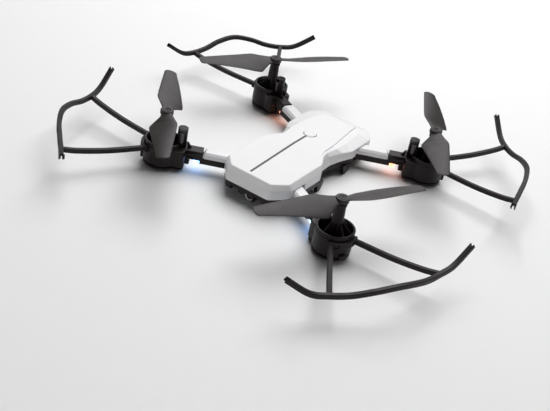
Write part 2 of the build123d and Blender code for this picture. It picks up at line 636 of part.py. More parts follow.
def make_guard(name, at):
    half = GUARD_BAR_WIDTH / 2
    inner = both_ways([bar_point(a, -half) for a in BAR_ANGLES])
    outer = both_ways([bar_point(a, half) for a in BAR_ANGLES])
    rise = both_ways([(height, bar_point(angle)[1]) for angle, height in BAR_HEIGHTS])
    under = [(y, z - GUARD_BAR_HEIGHT / 2) for z, y in rise]
    over = [(y, z + GUARD_BAR_HEIGHT / 2) for z, y in rise]
    with BuildPart() as guard:
        # the bar's bow seen from above, kept to its rise and fall seen from outside
        with BuildSketch(at):
            band_between(inner, outer)
        extrude(amount=60)
        with BuildSketch(facing(at, 0, 30, 0)):
            band_between(under, over)
        extrude(amount=60, mode=Mode.INTERSECT)
        join_x, join_y = bar_point(GUARD_JOIN_ANGLE)
        start_x, start_y = STRUT_ROOT
        length = hypot(join_x - start_x, join_y - start_y)
        heading = degrees(atan2(join_y - start_y, join_x - start_x))
        for side in (-1, 1):
            turned = at.rotated((0, 0, side * heading))
            origin = at.origin + at.x_dir * start_x + at.y_dir * (side * start_y)
            strut_plane = Plane(origin=origin, x_dir=turned.x_dir, z_dir=-turned.y_dir)
            half_high = GUARD_BAR_HEIGHT / 2
            low = [(length * share, z - half_high) for share, z in STRUT_SAG]
            high = [(length * share, z + half_high) for share, z in STRUT_SAG]
            with BuildSketch(strut_plane):
                band_between(low, high)
            extrude(amount=STRUT_WIDTH / 2, both=True)
        # yoke that hugs the pod's wall
        with BuildSketch(at.offset(YOKE_BASE_Z)):
            Circle(POD_RADIUS + YOKE_DEPTH)
            with Locations((-4.0, 0)):
                Rectangle(26, 40, mode=Mode.SUBTRACT)
        extrude(amount=YOKE_TOP_Z - YOKE_BASE_Z)
        disc(at, 0, 0, POD_RADIUS, 0, 40, Mode.SUBTRACT)
        for turn in GUARD_SCREW_ANGLES:
            with BuildSketch(facing(at, turn, POD_RADIUS - 1, GUARD_SCREW_Z)):
                Circle(SCREW_RADIUS + SCREW_SLACK)
            extrude(amount=6, mode=Mode.SUBTRACT)
            with BuildSketch(facing(at, turn, POD_RADIUS + 1.0, GUARD_SCREW_Z)):
                Circle(SCREW_HEAD_RADIUS + 0.1)
            extrude(amount=6, mode=Mode.SUBTRACT)
    save(guard, f"guard_{name}")


def make_arm_screws(name, at):
    with BuildPart() as screws:
        for x, y in COVER_SCREW_SPOTS:
            disc(at, x, y, SCREW_HEAD_RADIUS, COVER_PLATE_Z + 0.1, COVER_PLATE_Z + 0.8)
            disc(at, x, y, SCREW_RADIUS, COVER_PLATE_Z + 0.8, POD_BASE_Z + 4)
        for turn in GUARD_SCREW_ANGLES:
            with BuildSketch(facing(at, turn, POD_RADIUS + 1.0, GUARD_SCREW_Z)):
                Circle(SCREW_HEAD_RADIUS)
            extrude(amount=1.0)
            with BuildSketch(facing(at, turn, POD_RADIUS - POD_WALL, GUARD_SCREW_Z)):
                Circle(SCREW_RADIUS)
            extrude(amount=POD_WALL + 1.0)
    save(screws, f"arm_screws_{name}")


def make_lamp(name, at):
    with BuildPart() as lens:
        arm_strip(at, -22.2, -26.8, 2.3, 5.4, NECK_BASE_Z)
        fillet(lens.edges().group_by(Axis.Z)[0], 0.9)
    save(lens, f"lamp_lens_{name}")


make_top_shell()
make_bottom_shell()
make_body_screws()
make_power_button()
make_circuit_board()
make_battery()
make_camera()
for corner, side, end, blade, spin in CORNERS:
    place = arm_plane(side, end)
    make_arm(corner, place)
    make_arm_cover(corner, place)
    make_gear_cover(corner, place)
    make_motor(corner, place)
    make_main_gear(corner, place)
    make_pinion(corner, place)
    make_shaft(corner, place)
    make_bushes(corner, place)
    make_prop_screw(corner, place)
    make_propeller(corner, place, blade, spin)
    make_guard(corner, place)
    make_arm_screws(corner, place)
    make_lamp(corner, place)
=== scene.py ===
"""Looks of a folding mini quadcopter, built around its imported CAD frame.

The craft is a flat white shell on a black belly, four swing arms with geared motor pods,
paddle propellers on tall bearing towers, and an open guard screwed to each pod.
Forms are drawn in millimetres and become meshes in metres, in the frame's own axes:
+Z up, -Y towards the nose, +X towards the craft's left side.
"""

import json
import logging
import math
from dataclasses import dataclass
from enum import Enum
from typing import Iterable, Sequence

import bmesh
import bpy
from mathutils import Matrix, Vector


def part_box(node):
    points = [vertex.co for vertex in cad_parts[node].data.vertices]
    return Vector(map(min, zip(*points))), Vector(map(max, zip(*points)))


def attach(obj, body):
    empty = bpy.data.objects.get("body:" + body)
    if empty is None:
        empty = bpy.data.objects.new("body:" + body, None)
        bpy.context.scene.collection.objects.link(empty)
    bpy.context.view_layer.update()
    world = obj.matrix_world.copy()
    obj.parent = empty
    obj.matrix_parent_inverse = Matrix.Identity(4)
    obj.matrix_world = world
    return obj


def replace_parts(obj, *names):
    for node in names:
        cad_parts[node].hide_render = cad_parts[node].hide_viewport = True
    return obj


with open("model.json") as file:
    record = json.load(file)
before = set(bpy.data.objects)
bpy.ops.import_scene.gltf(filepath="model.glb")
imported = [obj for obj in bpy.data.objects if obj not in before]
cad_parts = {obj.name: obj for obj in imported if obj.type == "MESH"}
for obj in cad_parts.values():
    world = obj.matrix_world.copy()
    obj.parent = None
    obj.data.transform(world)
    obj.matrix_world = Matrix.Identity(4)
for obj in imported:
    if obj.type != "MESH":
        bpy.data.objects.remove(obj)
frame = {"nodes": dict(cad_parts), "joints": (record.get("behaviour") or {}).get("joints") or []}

MM = 0.001
LOG = logging.getLogger("quadcopter")
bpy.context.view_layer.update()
JOINTS = {joint["name"]: joint for joint in frame["joints"]}

Pair = tuple[float, float]
Triple = tuple[float, float, float]


# ---------------------------------------------------------------- forms and meshes


class Form:
    """A closed form being drawn: its points in millimetres and its faces."""

    def __init__(self) -> None:
        """Starts with no points."""
        self.points: list[Vector] = []
        self.faces: list[tuple[int, ...]] = []

    def ring(self, points: Iterable[Sequence[float]]) -> list[int]:
        """Adds points.

        Args:
            points: the places of the new points.

        Returns:
            Their indices.
        """
        first = len(self.points)
        self.points.extend(Vector(point) for point in points)
        return list(range(first, len(self.points)))

    def bridge(self, low: list[int], high: list[int]) -> None:
        """Joins two closed rings of the same length with quads."""
        count = len(low)
        for index in range(count):
            after = (index + 1) % count
            self.faces.append((low[index], low[after], high[after], high[index]))

    def stack(self, rings: Sequence[Sequence[Sequence[float]]], capped: bool = True) -> "Form":
        """Joins rings in order, and closes both ends.

        Args:
            rings: the rings, each with the same number of points.
            capped: False when the last ring joins back to the first.

        Returns:
            The form itself.
        """
        loops = [self.ring(ring) for ring in rings]
        for low, high in zip(loops, loops[1:]):
            self.bridge(low, high)
        if capped:
            self.faces.append(tuple(reversed(loops[0])))
            self.faces.append(tuple(loops[-1]))
        else:
            self.bridge(loops[-1], loops[0])
        return self

    def moved(self, matrix: Matrix) -> "Form":
        """Places the form by a matrix whose lengths are in millimetres."""
        self.points = [matrix @ point for point in self.points]
        return self

    def pour(self, bm: bmesh.types.BMesh) -> None:
        """Adds the form to a mesh being edited, in metres, outward facing."""
        made = [bm.verts.new(point * MM) for point in self.points]
        for face in self.faces:
            bm.faces.new([made[index] for index in face])
        bmesh.ops.remove_doubles(bm, verts=made, dist=0.002 * MM)
        bm.verts.ensure_lookup_table()


def circle(radius: float, height: float, steps: int, centre: Pair = (0.0, 0.0)) -> list[Triple]:
    """Level ring of points.

    Args:
        radius: the ring's radius.
        height: its height.
        steps: the number of points.
        centre: its middle in plan.

    Returns:
        The points, anticlockwise from above.
    """
    turns = [2 * math.pi * step / steps for step in range(steps)]
    return [(centre[0] + radius * math.cos(t), centre[1] + radius * math.sin(t), height) for t in turns]


def turned(profile: Sequence[Pair], steps: int, centre: Pair = (0.0, 0.0), closed: bool = False) -> Form:
    """Form of revolution about an upright axis.

    Args:
        profile: radius and height pairs, in order.
        steps: points round the axis.
        centre: the axis in plan.
        closed: True when the profile runs back to its start, as a tube's does.

    Returns:
        The form.
    """
    rings = [circle(radius, height, steps, centre) for radius, height in profile]
    return Form().stack(rings, capped=not closed)


def rounded(corners: Sequence[Triple], steps: int = 5) -> list[Pair]:
    """Closed outline with each corner turned into an arc of a set number of points.

    Args:
        corners: x, y and radius of each corner, in order.
        steps: points in each arc.

    Returns:
        The outline's points.
    """
    outline: list[Pair] = []
    count = len(corners)
    for index, (x, y, radius) in enumerate(corners):
        here = Vector((x, y))
        back = Vector(corners[index - 1][:2]) - here
        ahead = Vector(corners[(index + 1) % count][:2]) - here
        half = back.angle(ahead) / 2
        reach = min(radius / math.tan(half), back.length * 0.48, ahead.length * 0.48)
        start = here + back.normalized() * reach
        end = here + ahead.normalized() * reach
        for step in range(steps):
            t = step / (steps - 1)
            point = start * (1 - t) ** 2 + here * 2 * t * (1 - t) + end * t**2
            outline.append((point.x, point.y))
    return outline


def prism(outline: Sequence[Pair], levels: Sequence[Pair]) -> Form:
    """Upright block over an outline, drawn in a little at chosen heights.

    Args:
        outline: the plan.
        levels: height and inset pairs, from the bottom up.

    Returns:
        The form.
    """
    return Form().stack([[(x, y, height) for x, y in inset(outline, by)] for height, by in levels])


def inset(outline: Sequence[Pair], by: float) -> list[Pair]:
    """Outline drawn inwards by a distance, point by point.

    Args:
        outline: an anticlockwise or clockwise outline.
        by: the distance.

    Returns:
        As many points.
    """
    if by == 0:
        return list(outline)
    points = [Vector(point) for point in outline]
    area = sum(a.x * b.y - b.x * a.y for a, b in zip(points, points[1:] + points[:1]))
    sense = 1 if area > 0 else -1
    moved: list[Pair] = []
    for index, here in enumerate(points):
        along = (points[(index + 1) % len(points)] - points[index - 1]).normalized()
        point = here + Vector((-along.y, along.x)) * (by * sense)
        moved.append((point.x, point.y))
    return moved


def rounded_profile(points: Sequence[Vector], radii: Sequence[float], steps: int = 4) -> list[Vector]:
    """Open line in space with its inner corners eased into short curves.

    Args:
        points: the line's corners.
        radii: how far each inner corner's curve reaches along its two runs.
        steps: points in each curve.

    Returns:
        The eased line.
    """
    line = [points[0]]
    for before, here, after, reach in zip(points, points[1:], points[2:], radii):
        start = here + (before - here).normalized() * min(reach, (before - here).length * 0.45)
        end = here + (after - here).normalized() * min(reach, (after - here).length * 0.45)
        for step in range(steps):
            t = step / (steps - 1)
            line.append(start * (1 - t) ** 2 + here * 2 * t * (1 - t) + end * t**2)
    line.append(points[-1])
    return line


def spline(points: Sequence[Sequence[float]], steps: int) -> list[Vector]:
    """Smooth line through points.

    Args:
        points: the places that the line passes.
        steps: points made for each run.

    Returns:
        The line's points, the last one included.
    """
    known = [Vector(point) for point in points]
    padded = [known[0] * 2 - known[1]] + known + [known[-1] * 2 - known[-2]]
    line: list[Vector] = []
    for a, b, c, d in zip(padded, padded[1:], padded[2:], padded[3:]):
        for step in range(steps):
            t = step / steps
            square = (2 * a - 5 * b + 4 * c - d) * t**2
            cube = (3 * b - 3 * c + d - a) * t**3
            line.append(0.5 * (2 * b + (c - a) * t + square + cube))
    line.append(known[-1])
    return line


def swept(path: Sequence[Vector], section: Sequence[Pair], up: Vector = Vector((0, 0, 1))) -> Form:
    """Bar with a constant section along a path.

    Args:
        path: the bar's centre line.
        section: the section's points, sideways and upwards from the line.
        up: the direction that the section keeps upright.

    Returns:
        The form.
    """
    rings = []
    for index, here in enumerate(path):
        ahead = path[min(index + 1, len(path) - 1)] - path[max(index - 1, 0)]
        side = ahead.cross(up).normalized()
        top = side.cross(ahead).normalized()
        rings.append([here + side * x + top * z for x, z in section])
    return Form().stack(rings)


def make_mesh(name: str, forms: Iterable[Form]) -> bpy.types.Mesh:
    """Mesh of one or more closed forms.

    Args:
        name: the mesh's name.
        forms: the forms, in millimetres.

    Returns:
        The mesh, in metres, with every face outwards.
    """
    mesh = bpy.data.meshes.new(name)
    bm = bmesh.new()
    for form in forms:
        form.pour(bm)
    bmesh.ops.recalc_face_normals(bm, faces=bm.faces)
    bm.to_mesh(mesh)
    bm.free()
    return mesh


def linked(name: str, mesh: bpy.types.Mesh) -> bpy.types.Object:
    """Object of a mesh, standing at the origin."""
    piece = bpy.data.objects.new(name, mesh)
    bpy.context.scene.collection.objects.link(piece)
    return piece


def settled(piece: bpy.types.Object) -> bpy.types.Object:
    """Turns a piece's modifiers into plain mesh and removes them."""
    graph = bpy.context.evaluated_depsgraph_get()
    graph.update()
    plain = bpy.data.meshes.new_from_object(piece.evaluated_get(graph))
    plain.name = piece.name
    piece.modifiers.clear()
    piece.data = plain
    return piece


def carve(piece: bpy.types.Object, cutters: Sequence[Form], join: bool = False) -> bpy.types.Object:
    """Cuts forms out of a piece, or joins them to it.

    Args:
        piece: the piece.
        cutters: closed forms.
        join: True to add instead of cutting.

    Returns:
        The piece, with plain mesh.
    """
    for cutter in cutters:
        combined(piece, linked("cutter", make_mesh("cutter", [cutter])), join)
    return piece


def soften(piece: bpy.types.Object, width: float, angle: float = 35.0, segments: int = 2) -> bpy.types.Object:
    """Rounds a piece's sharp edges.

    Args:
        piece: the piece.
        width: the rounding's width in millimetres.
        angle: edges that turn by more than this many degrees are rounded.
        segments: strips in each rounding.

    Returns:
        The piece, with plain mesh.
    """
    bevel = piece.modifiers.new("soften", "BEVEL")
    bevel.width = width * MM
    bevel.segments = segments
    bevel.limit_method = "ANGLE"
    bevel.angle_limit = math.radians(angle)
    bevel.use_clamp_overlap = True
    bevel.harden_normals = False
    return settled(piece)


def dressed(piece: bpy.types.Object, material: bpy.types.Material, crease: float = 40.0) -> bpy.types.Object:
    """Gives a piece its material and its smooth shading.

    Args:
        piece: the piece.
        material: the one material of all its faces.
        crease: edges that turn by more than this many degrees stay sharp.

    Returns:
        The piece.
    """
    piece.data.materials.clear()
    piece.data.materials.append(material)
    piece.data.shade_smooth()
    piece.data.set_sharp_from_angle(angle=math.radians(crease))
    return piece


# ---------------------------------------------------------------- finishes


class Nodes:
    """Short way to wire a material's nodes."""

    def __init__(self, name: str) -> None:
        """Makes an empty material with its output and its shader."""
        self.material = bpy.data.materials.new(name)
        self.material.use_nodes = True
        self.tree = self.material.node_tree
        self.shader = self.tree.nodes["Principled BSDF"]

    def add(self, kind: str, **values: object) -> bpy.types.Node:
        """Adds a node.

        Args:
            kind: the node's type name.
            values: its settings, by attribute name.

        Returns:
            The node.
        """
        node = self.tree.nodes.new(kind)
        for key, value in values.items():
            setattr(node, key, value)
        return node

    def wire(self, source: bpy.types.NodeSocket, target: bpy.types.NodeSocket) -> None:
        """Joins two sockets."""
        self.tree.links.new(source, target)

    def math(self, operation: str, *terms: object) -> bpy.types.NodeSocket:
        """Adds a math node whose terms are numbers or sockets, and returns its result."""
        node = self.add("ShaderNodeMath", operation=operation)
        for socket, term in zip(node.inputs, terms):
            if isinstance(term, (int, float)):
                socket.default_value = term
            else:
                self.wire(term, socket)
        return node.outputs[0]

    def place(self) -> bpy.types.NodeSocket:
        """The object's own coordinates."""
        return self.add("ShaderNodeTexCoord").outputs["Object"]

    def noise(self, scale: float, detail: float = 3.0) -> bpy.types.NodeSocket:
        """Noise over the object's coordinates, from 0 to 1."""
        node = self.add("ShaderNodeTexNoise")
        node.inputs["Scale"].default_value = scale
        node.inputs["Detail"].default_value = detail
        self.wire(self.place(), node.inputs["Vector"])
        return node.outputs["Fac"]

    def spread(self, value: bpy.types.NodeSocket, low: float, high: float) -> bpy.types.NodeSocket:
        """Maps a value from 0.3..0.7 to a new range."""
        node = self.add("ShaderNodeMapRange")
        self.wire(value, node.inputs["Value"])
        node.inputs["From Min"].default_value = 0.3
        node.inputs["From Max"].default_value = 0.7
        node.inputs["To Min"].default_value = low
        node.inputs["To Max"].default_value = high
        return node.outputs["Result"]

    def blend(self, share: object, first: object, second: object) -> bpy.types.NodeSocket:
        """Mixes two colours, each a value or a socket, by a share."""
        node = self.add("ShaderNodeMix", data_type="RGBA")
        for socket, value in ((node.inputs[0], share), (node.inputs[6], first), (node.inputs[7], second)):
            if isinstance(value, tuple):
                socket.default_value = (*value, 1.0)
            elif isinstance(value, (int, float)):
                socket.default_value = value
            else:
                self.wire(value, socket)
        return node.outputs[2]


def shade(colour: Triple, factor: float) -> Triple:
    """Colour made darker or lighter by a factor."""
    return (colour[0] * factor, colour[1] * factor, colour[2] * factor)


@dataclass(frozen=True)
class Plastic:
    """Moulded plastic with a fine skin and faint unevenness.

    Attributes:
        name: the material's name.
        colour: its base colour.
        roughness: its mean roughness.
        coat: clear gloss over it, from 0 to 1.
        grain: depth of the skin's texture, in millimetres.
        grain_scale: how fine the skin is, in cells per metre.
        mottle: how much the colour varies, as a share.
        shine: strength of the surface's reflections, from 0 to 1.
    """

    name: str
    colour: Triple
    roughness: float
    coat: float = 0.0
    grain: float = 0.02
    grain_scale: float = 2500.0
    mottle: float = 0.06
    shine: float = 0.5

    def start(self) -> Nodes:
        """Builds the shader with its skin, roughness and colour.

        Returns:
            The nodes, with the plain colour left wired, so that a print can go over it.
        """
        nodes = Nodes(self.name)
        shader = nodes.shader
        shader.inputs["Coat Weight"].default_value = self.coat
        shader.inputs["Coat Roughness"].default_value = 0.12
        shader.inputs["Specular IOR Level"].default_value = self.shine
        cloud = nodes.noise(35.0, 4.0)
        dark, pale = shade(self.colour, 1 - self.mottle), shade(self.colour, 1 + self.mottle)
        tint = nodes.blend(nodes.spread(cloud, 0.0, 1.0), dark, pale)
        nodes.wire(tint, shader.inputs["Base Color"])
        smear = nodes.noise(140.0, 5.0)
        gloss = nodes.spread(smear, self.roughness * 0.88, self.roughness * 1.12)
        nodes.wire(gloss, shader.inputs["Roughness"])
        bump = nodes.add("ShaderNodeBump")
        bump.inputs["Strength"].default_value = 0.35
        bump.inputs["Distance"].default_value = self.grain * MM
        nodes.wire(nodes.noise(self.grain_scale, 2.0), bump.inputs["Height"])
        nodes.wire(bump.outputs["Normal"], shader.inputs["Normal"])
        return nodes

    def build(self) -> bpy.types.Material:
        """Makes the material."""
        return self.start().material


@dataclass(frozen=True)
class PrintedShell:
    """Glossy white shell with a dark pinstripe printed along the deck.

    Attributes:
        base: the plastic under the print.
        ink: the stripe's colour.
        start: the stripe's nose end, in millimetres.
        end: its other end.
        width: its width.
    """

    base: Plastic
    ink: Triple
    start: Pair
    end: Pair
    width: float

    def build(self) -> bpy.types.Material:
        """Makes the material."""
        nodes = self.base.start()
        parts = nodes.add("ShaderNodeSeparateXYZ")
        nodes.wire(nodes.place(), parts.inputs[0])
        lean = (self.end[0] - self.start[0]) / (self.end[1] - self.start[1])
        shift = (self.start[0] - lean * self.start[1]) * MM
        middle = nodes.math("MULTIPLY_ADD", parts.outputs[1], lean, shift)
        away = nodes.math("ABSOLUTE", nodes.math("SUBTRACT", parts.outputs[0], middle))
        near = nodes.math("LESS_THAN", away, self.width / 2 * MM)
        after = nodes.math("GREATER_THAN", parts.outputs[1], self.start[1] * MM)
        before = nodes.math("LESS_THAN", parts.outputs[1], self.end[1] * MM)
        facing = nodes.add("ShaderNodeSeparateXYZ")
        nodes.wire(nodes.add("ShaderNodeNewGeometry").outputs["True Normal"], facing.inputs[0])
        upwards = nodes.math("GREATER_THAN", facing.outputs[2], 0.7)
        along = nodes.math("MULTIPLY", near, after)
        share = nodes.math("MULTIPLY", along, nodes.math("MULTIPLY", before, upwards))
        colour = nodes.shader.inputs["Base Color"].links[0].from_socket
        nodes.wire(nodes.blend(share, colour, self.ink), nodes.shader.inputs["Base Color"])
        return nodes.material


@dataclass(frozen=True)
class Metal:
    """Turned or drawn metal with fine streaks round it.

    Attributes:
        name: the material's name.
        colour: its colour.
        roughness: its mean roughness.
        streaks: how fine the streaks are, in cells per metre.
    """

    name: str
    colour: Triple
    roughness: float
    streaks: float = 3000.0

    def build(self) -> bpy.types.Material:
        """Makes the material."""
        nodes = Nodes(self.name)
        nodes.shader.inputs["Metallic"].default_value = 1.0
        stretch = nodes.add("ShaderNodeMapping")
        stretch.inputs["Scale"].default_value = (0.15, 0.15, 1.0)
        nodes.wire(nodes.place(), stretch.inputs["Vector"])
        lines = nodes.add("ShaderNodeTexNoise")
        lines.inputs["Scale"].default_value = self.streaks
        nodes.wire(stretch.outputs[0], lines.inputs["Vector"])
        fine = lines.outputs["Fac"]
        gloss = nodes.spread(fine, self.roughness * 0.75, self.roughness * 1.3)
        nodes.wire(gloss, nodes.shader.inputs["Roughness"])
        tint = nodes.blend(nodes.spread(fine, 0.0, 1.0), shade(self.colour, 0.88), self.colour)
        nodes.wire(tint, nodes.shader.inputs["Base Color"])
        bump = nodes.add("ShaderNodeBump")
        bump.inputs["Strength"].default_value = 0.25
        bump.inputs["Distance"].default_value = 0.01 * MM
        nodes.wire(fine, bump.inputs["Height"])
        nodes.wire(bump.outputs["Normal"], nodes.shader.inputs["Normal"])
        return nodes.material


@dataclass(frozen=True)
class Lamp:
    """Lit lamp lens, its glow lighter in scattered patches.

    Attributes:
        name: the material's name.
        colour: the light's colour.
        strength: how bright it is.
    """

    name: str
    colour: Triple
    strength: float

    def build(self) -> bpy.types.Material:
        """Makes the material."""
        nodes = Nodes(self.name)
        shader = nodes.shader
        shader.inputs["Roughness"].default_value = 0.25
        shader.inputs["Emission Strength"].default_value = self.strength
        cloud = nodes.spread(nodes.noise(420.0, 2.0), 0.0, 1.0)
        glow = nodes.blend(cloud, self.colour, tuple(min(1.0, 0.3 + 0.75 * c) for c in self.colour))
        nodes.wire(glow, shader.inputs["Base Color"])
        nodes.wire(glow, shader.inputs["Emission Color"])
        return nodes.material


@dataclass(frozen=True)
class CoatedGlass:
    """Dark lens glass, its colour turned towards a faint tint where it is seen at a slant: a painted reflection of
    its coating.

    Attributes:
        name: the material's name.
        colour: the glass's depth colour.
        painted_reflection: the tint painted in at a slant, standing in for the coating's reflection.
    """

    name: str
    colour: Triple
    painted_reflection: Triple

    def build(self) -> bpy.types.Material:
        """Makes the material."""
        nodes = Nodes(self.name)
        shader = nodes.shader
        shader.inputs["Roughness"].default_value = 0.04
        shader.inputs["Coat Weight"].default_value = 1.0
        shader.inputs["Coat Roughness"].default_value = 0.02
        # Painted reflection: seen at a slant, the base colour turns to the coating's tint.
        rim = nodes.add("ShaderNodeLayerWeight")
        rim.inputs["Blend"].default_value = 0.4
        nodes.wire(nodes.blend(rim.outputs["Facing"], self.colour, self.painted_reflection), shader.inputs["Base Color"])
        return nodes.material


@dataclass(frozen=True)
class BoardMask:
    """Green solder mask with fine tracks.

    Attributes:
        name: the material's name.
        mask: the colour over bare laminate.
        track: the colour over copper.
        pitch: how fine the tracks are, in cells per metre.
    """

    name: str
    mask: Triple
    track: Triple
    pitch: float

    def build(self) -> bpy.types.Material:
        """Makes the material."""
        nodes = Nodes(self.name)
        nodes.shader.inputs["Roughness"].default_value = 0.32
        cells = nodes.add("ShaderNodeTexVoronoi", distance="CHEBYCHEV", feature="F1")
        cells.inputs["Scale"].default_value = self.pitch
        nodes.wire(nodes.place(), cells.inputs["Vector"])
        edge = nodes.math("GREATER_THAN", cells.outputs["Distance"], 0.42)
        nodes.wire(nodes.blend(edge, self.mask, self.track), nodes.shader.inputs["Base Color"])
        bump = nodes.add("ShaderNodeBump")
        bump.inputs["Distance"].default_value = 0.03 * MM
        nodes.wire(edge, bump.inputs["Height"])
        nodes.wire(bump.outputs["Normal"], nodes.shader.inputs["Normal"])
        return nodes.material


WHITE_ABS = Plastic("white_abs", (0.80, 0.80, 0.81), 0.34, 0.15, 0.004, 900.0, 0.012, 0.35)
BLACK_ABS = Plastic("black_abs", (0.0150, 0.0105, 0.0105), 0.42, 0.0, 0.02, 3200.0, shine=0.22)
GUARD_NYLON = Plastic("guard_nylon", (0.0160, 0.0125, 0.0125), 0.45, 0.0, 0.02, 2600.0, shine=0.22)
PROP_NYLON = Plastic("prop_nylon", (0.033, 0.028, 0.028), 0.42, 0.0, 0.012, 1800.0, shine=0.25)
CAMERA_ABS = Plastic("camera_abs", (0.010, 0.009, 0.010), 0.18, 0.4, 0.003, 900.0)
BUTTON_ABS = Plastic("button_abs", (0.80, 0.80, 0.81), 0.34, 0.15, 0.004, 900.0, 0.01, 0.35)
BATTERY_CASE = Plastic("battery_case", (0.045, 0.045, 0.048), 0.34, grain=0.02, grain_scale=2200.0)
GEAR_NYLON = Plastic("gear_nylon", (0.72, 0.70, 0.62), 0.38, grain=0.008, grain_scale=2000.0, mottle=0.04)
SHELL_PRINT = PrintedShell(WHITE_ABS, (0.028, 0.026, 0.028), (-2.5, -58.8), (-4.6, 14.4), 1.8)
MOTOR_CAN = Metal("motor_can", (0.10, 0.095, 0.095), 0.36)
SHAFT_STEEL = Metal("shaft_steel", (0.66, 0.66, 0.67), 0.18, 5000.0)
PINION_BRASS = Metal("pinion_brass", (0.80, 0.61, 0.30), 0.22)
BUSH_BRONZE = Metal("bush_bronze", (0.62, 0.42, 0.22), 0.38)
SCREW_BLACK = Metal("screw_black", (0.045, 0.044, 0.046), 0.42, 6000.0)
LAMP_BLUE = Lamp("lamp_blue", (0.05, 0.38, 1.0), 5.0)
LAMP_RED = Lamp("lamp_red", (1.0, 0.24, 0.07), 3.6)
LENS_GLASS = CoatedGlass("lens_glass", (0.006, 0.007, 0.012), (0.10, 0.07, 0.20))
BEZEL_GREY = Plastic("bezel_grey", (0.72, 0.72, 0.71), 0.3, 0.3, 0.003, 900.0)
FLOOR_PAINT = Plastic("floor_paint", (0.86, 0.86, 0.86), 0.7, grain=0.01, grain_scale=300.0, mottle=0.004)
CHIP_RESIN = Plastic("chip_resin", (0.03, 0.03, 0.032), 0.5, grain=0.01)
BOARD_GREEN = BoardMask("board_green", (0.010, 0.085, 0.036), (0.02, 0.16, 0.065), 900.0)


# ---------------------------------------------------------------- tools for repeated and carved forms


def combined(piece: bpy.types.Object, tool: bpy.types.Object, join: bool) -> bpy.types.Object:
    """Adds a tool object's form to a piece or cuts it away, and removes the tool."""
    cut = piece.modifiers.new("cut", "BOOLEAN")
    cut.operation = "UNION" if join else "DIFFERENCE"
    cut.solver = "EXACT"
    cut.object = tool
    settled(piece)
    bpy.data.objects.remove(tool)
    return piece


def in_metres(place: Matrix) -> Matrix:
    """The same placing, with its shift in metres."""
    moved = place.copy()
    moved.translation = place.translation * MM
    return moved


def stamped(template: bpy.types.Mesh, name: str, place: Matrix) -> bpy.types.Object:
    """Object with a placed copy of a mesh that was drawn about an arm's own axes."""
    mesh = template.copy()
    mesh.name = name
    mesh.transform(in_metres(place))
    return linked(name, mesh)


def aimed(spot: Sequence[float], direction: Sequence[float]) -> Matrix:
    """Placing that stands a form's upright axis along a direction."""
    turn = Vector((0, 0, 1)).rotation_difference(Vector(direction))
    return Matrix.Translation(Vector(spot)) @ turn.to_matrix().to_4x4()


def rod(radius: float, start: float, stop: float, place: Matrix, steps: int = 32) -> Form:
    """Round bar between two distances along a placed axis."""
    return turned([(radius, start), (radius, stop)], steps).moved(place)


def block(low: Triple, high: Triple, ease: float = 0.0) -> Form:
    """Upright block between two corners, with its level edges drawn in a little."""
    corners = [(low[0], low[1]), (high[0], low[1]), (high[0], high[1]), (low[0], high[1])]
    if ease == 0:
        return prism(corners, [(low[2], 0.0), (high[2], 0.0)])
    plan = rounded([(x, y, ease * 1.6) for x, y in corners], 4)
    rise = [(low[2], ease), (low[2] + ease, 0.0), (high[2] - ease, 0.0), (high[2], ease)]
    return prism(plan, rise)


def channel(width: float, height: float, wall: float, ease: float = 0.45) -> list[Pair]:
    """Section of a bar that is open below."""
    half, top, low = width / 2, height / 2, -height / 2
    return [
        (-half, low), (-half, top - ease), (-half + ease, top), (half - ease, top), (half, top - ease),
        (half, low), (half - wall, low), (half - wall, top - wall),
        (wall - half, top - wall), (wall - half, low),
    ]


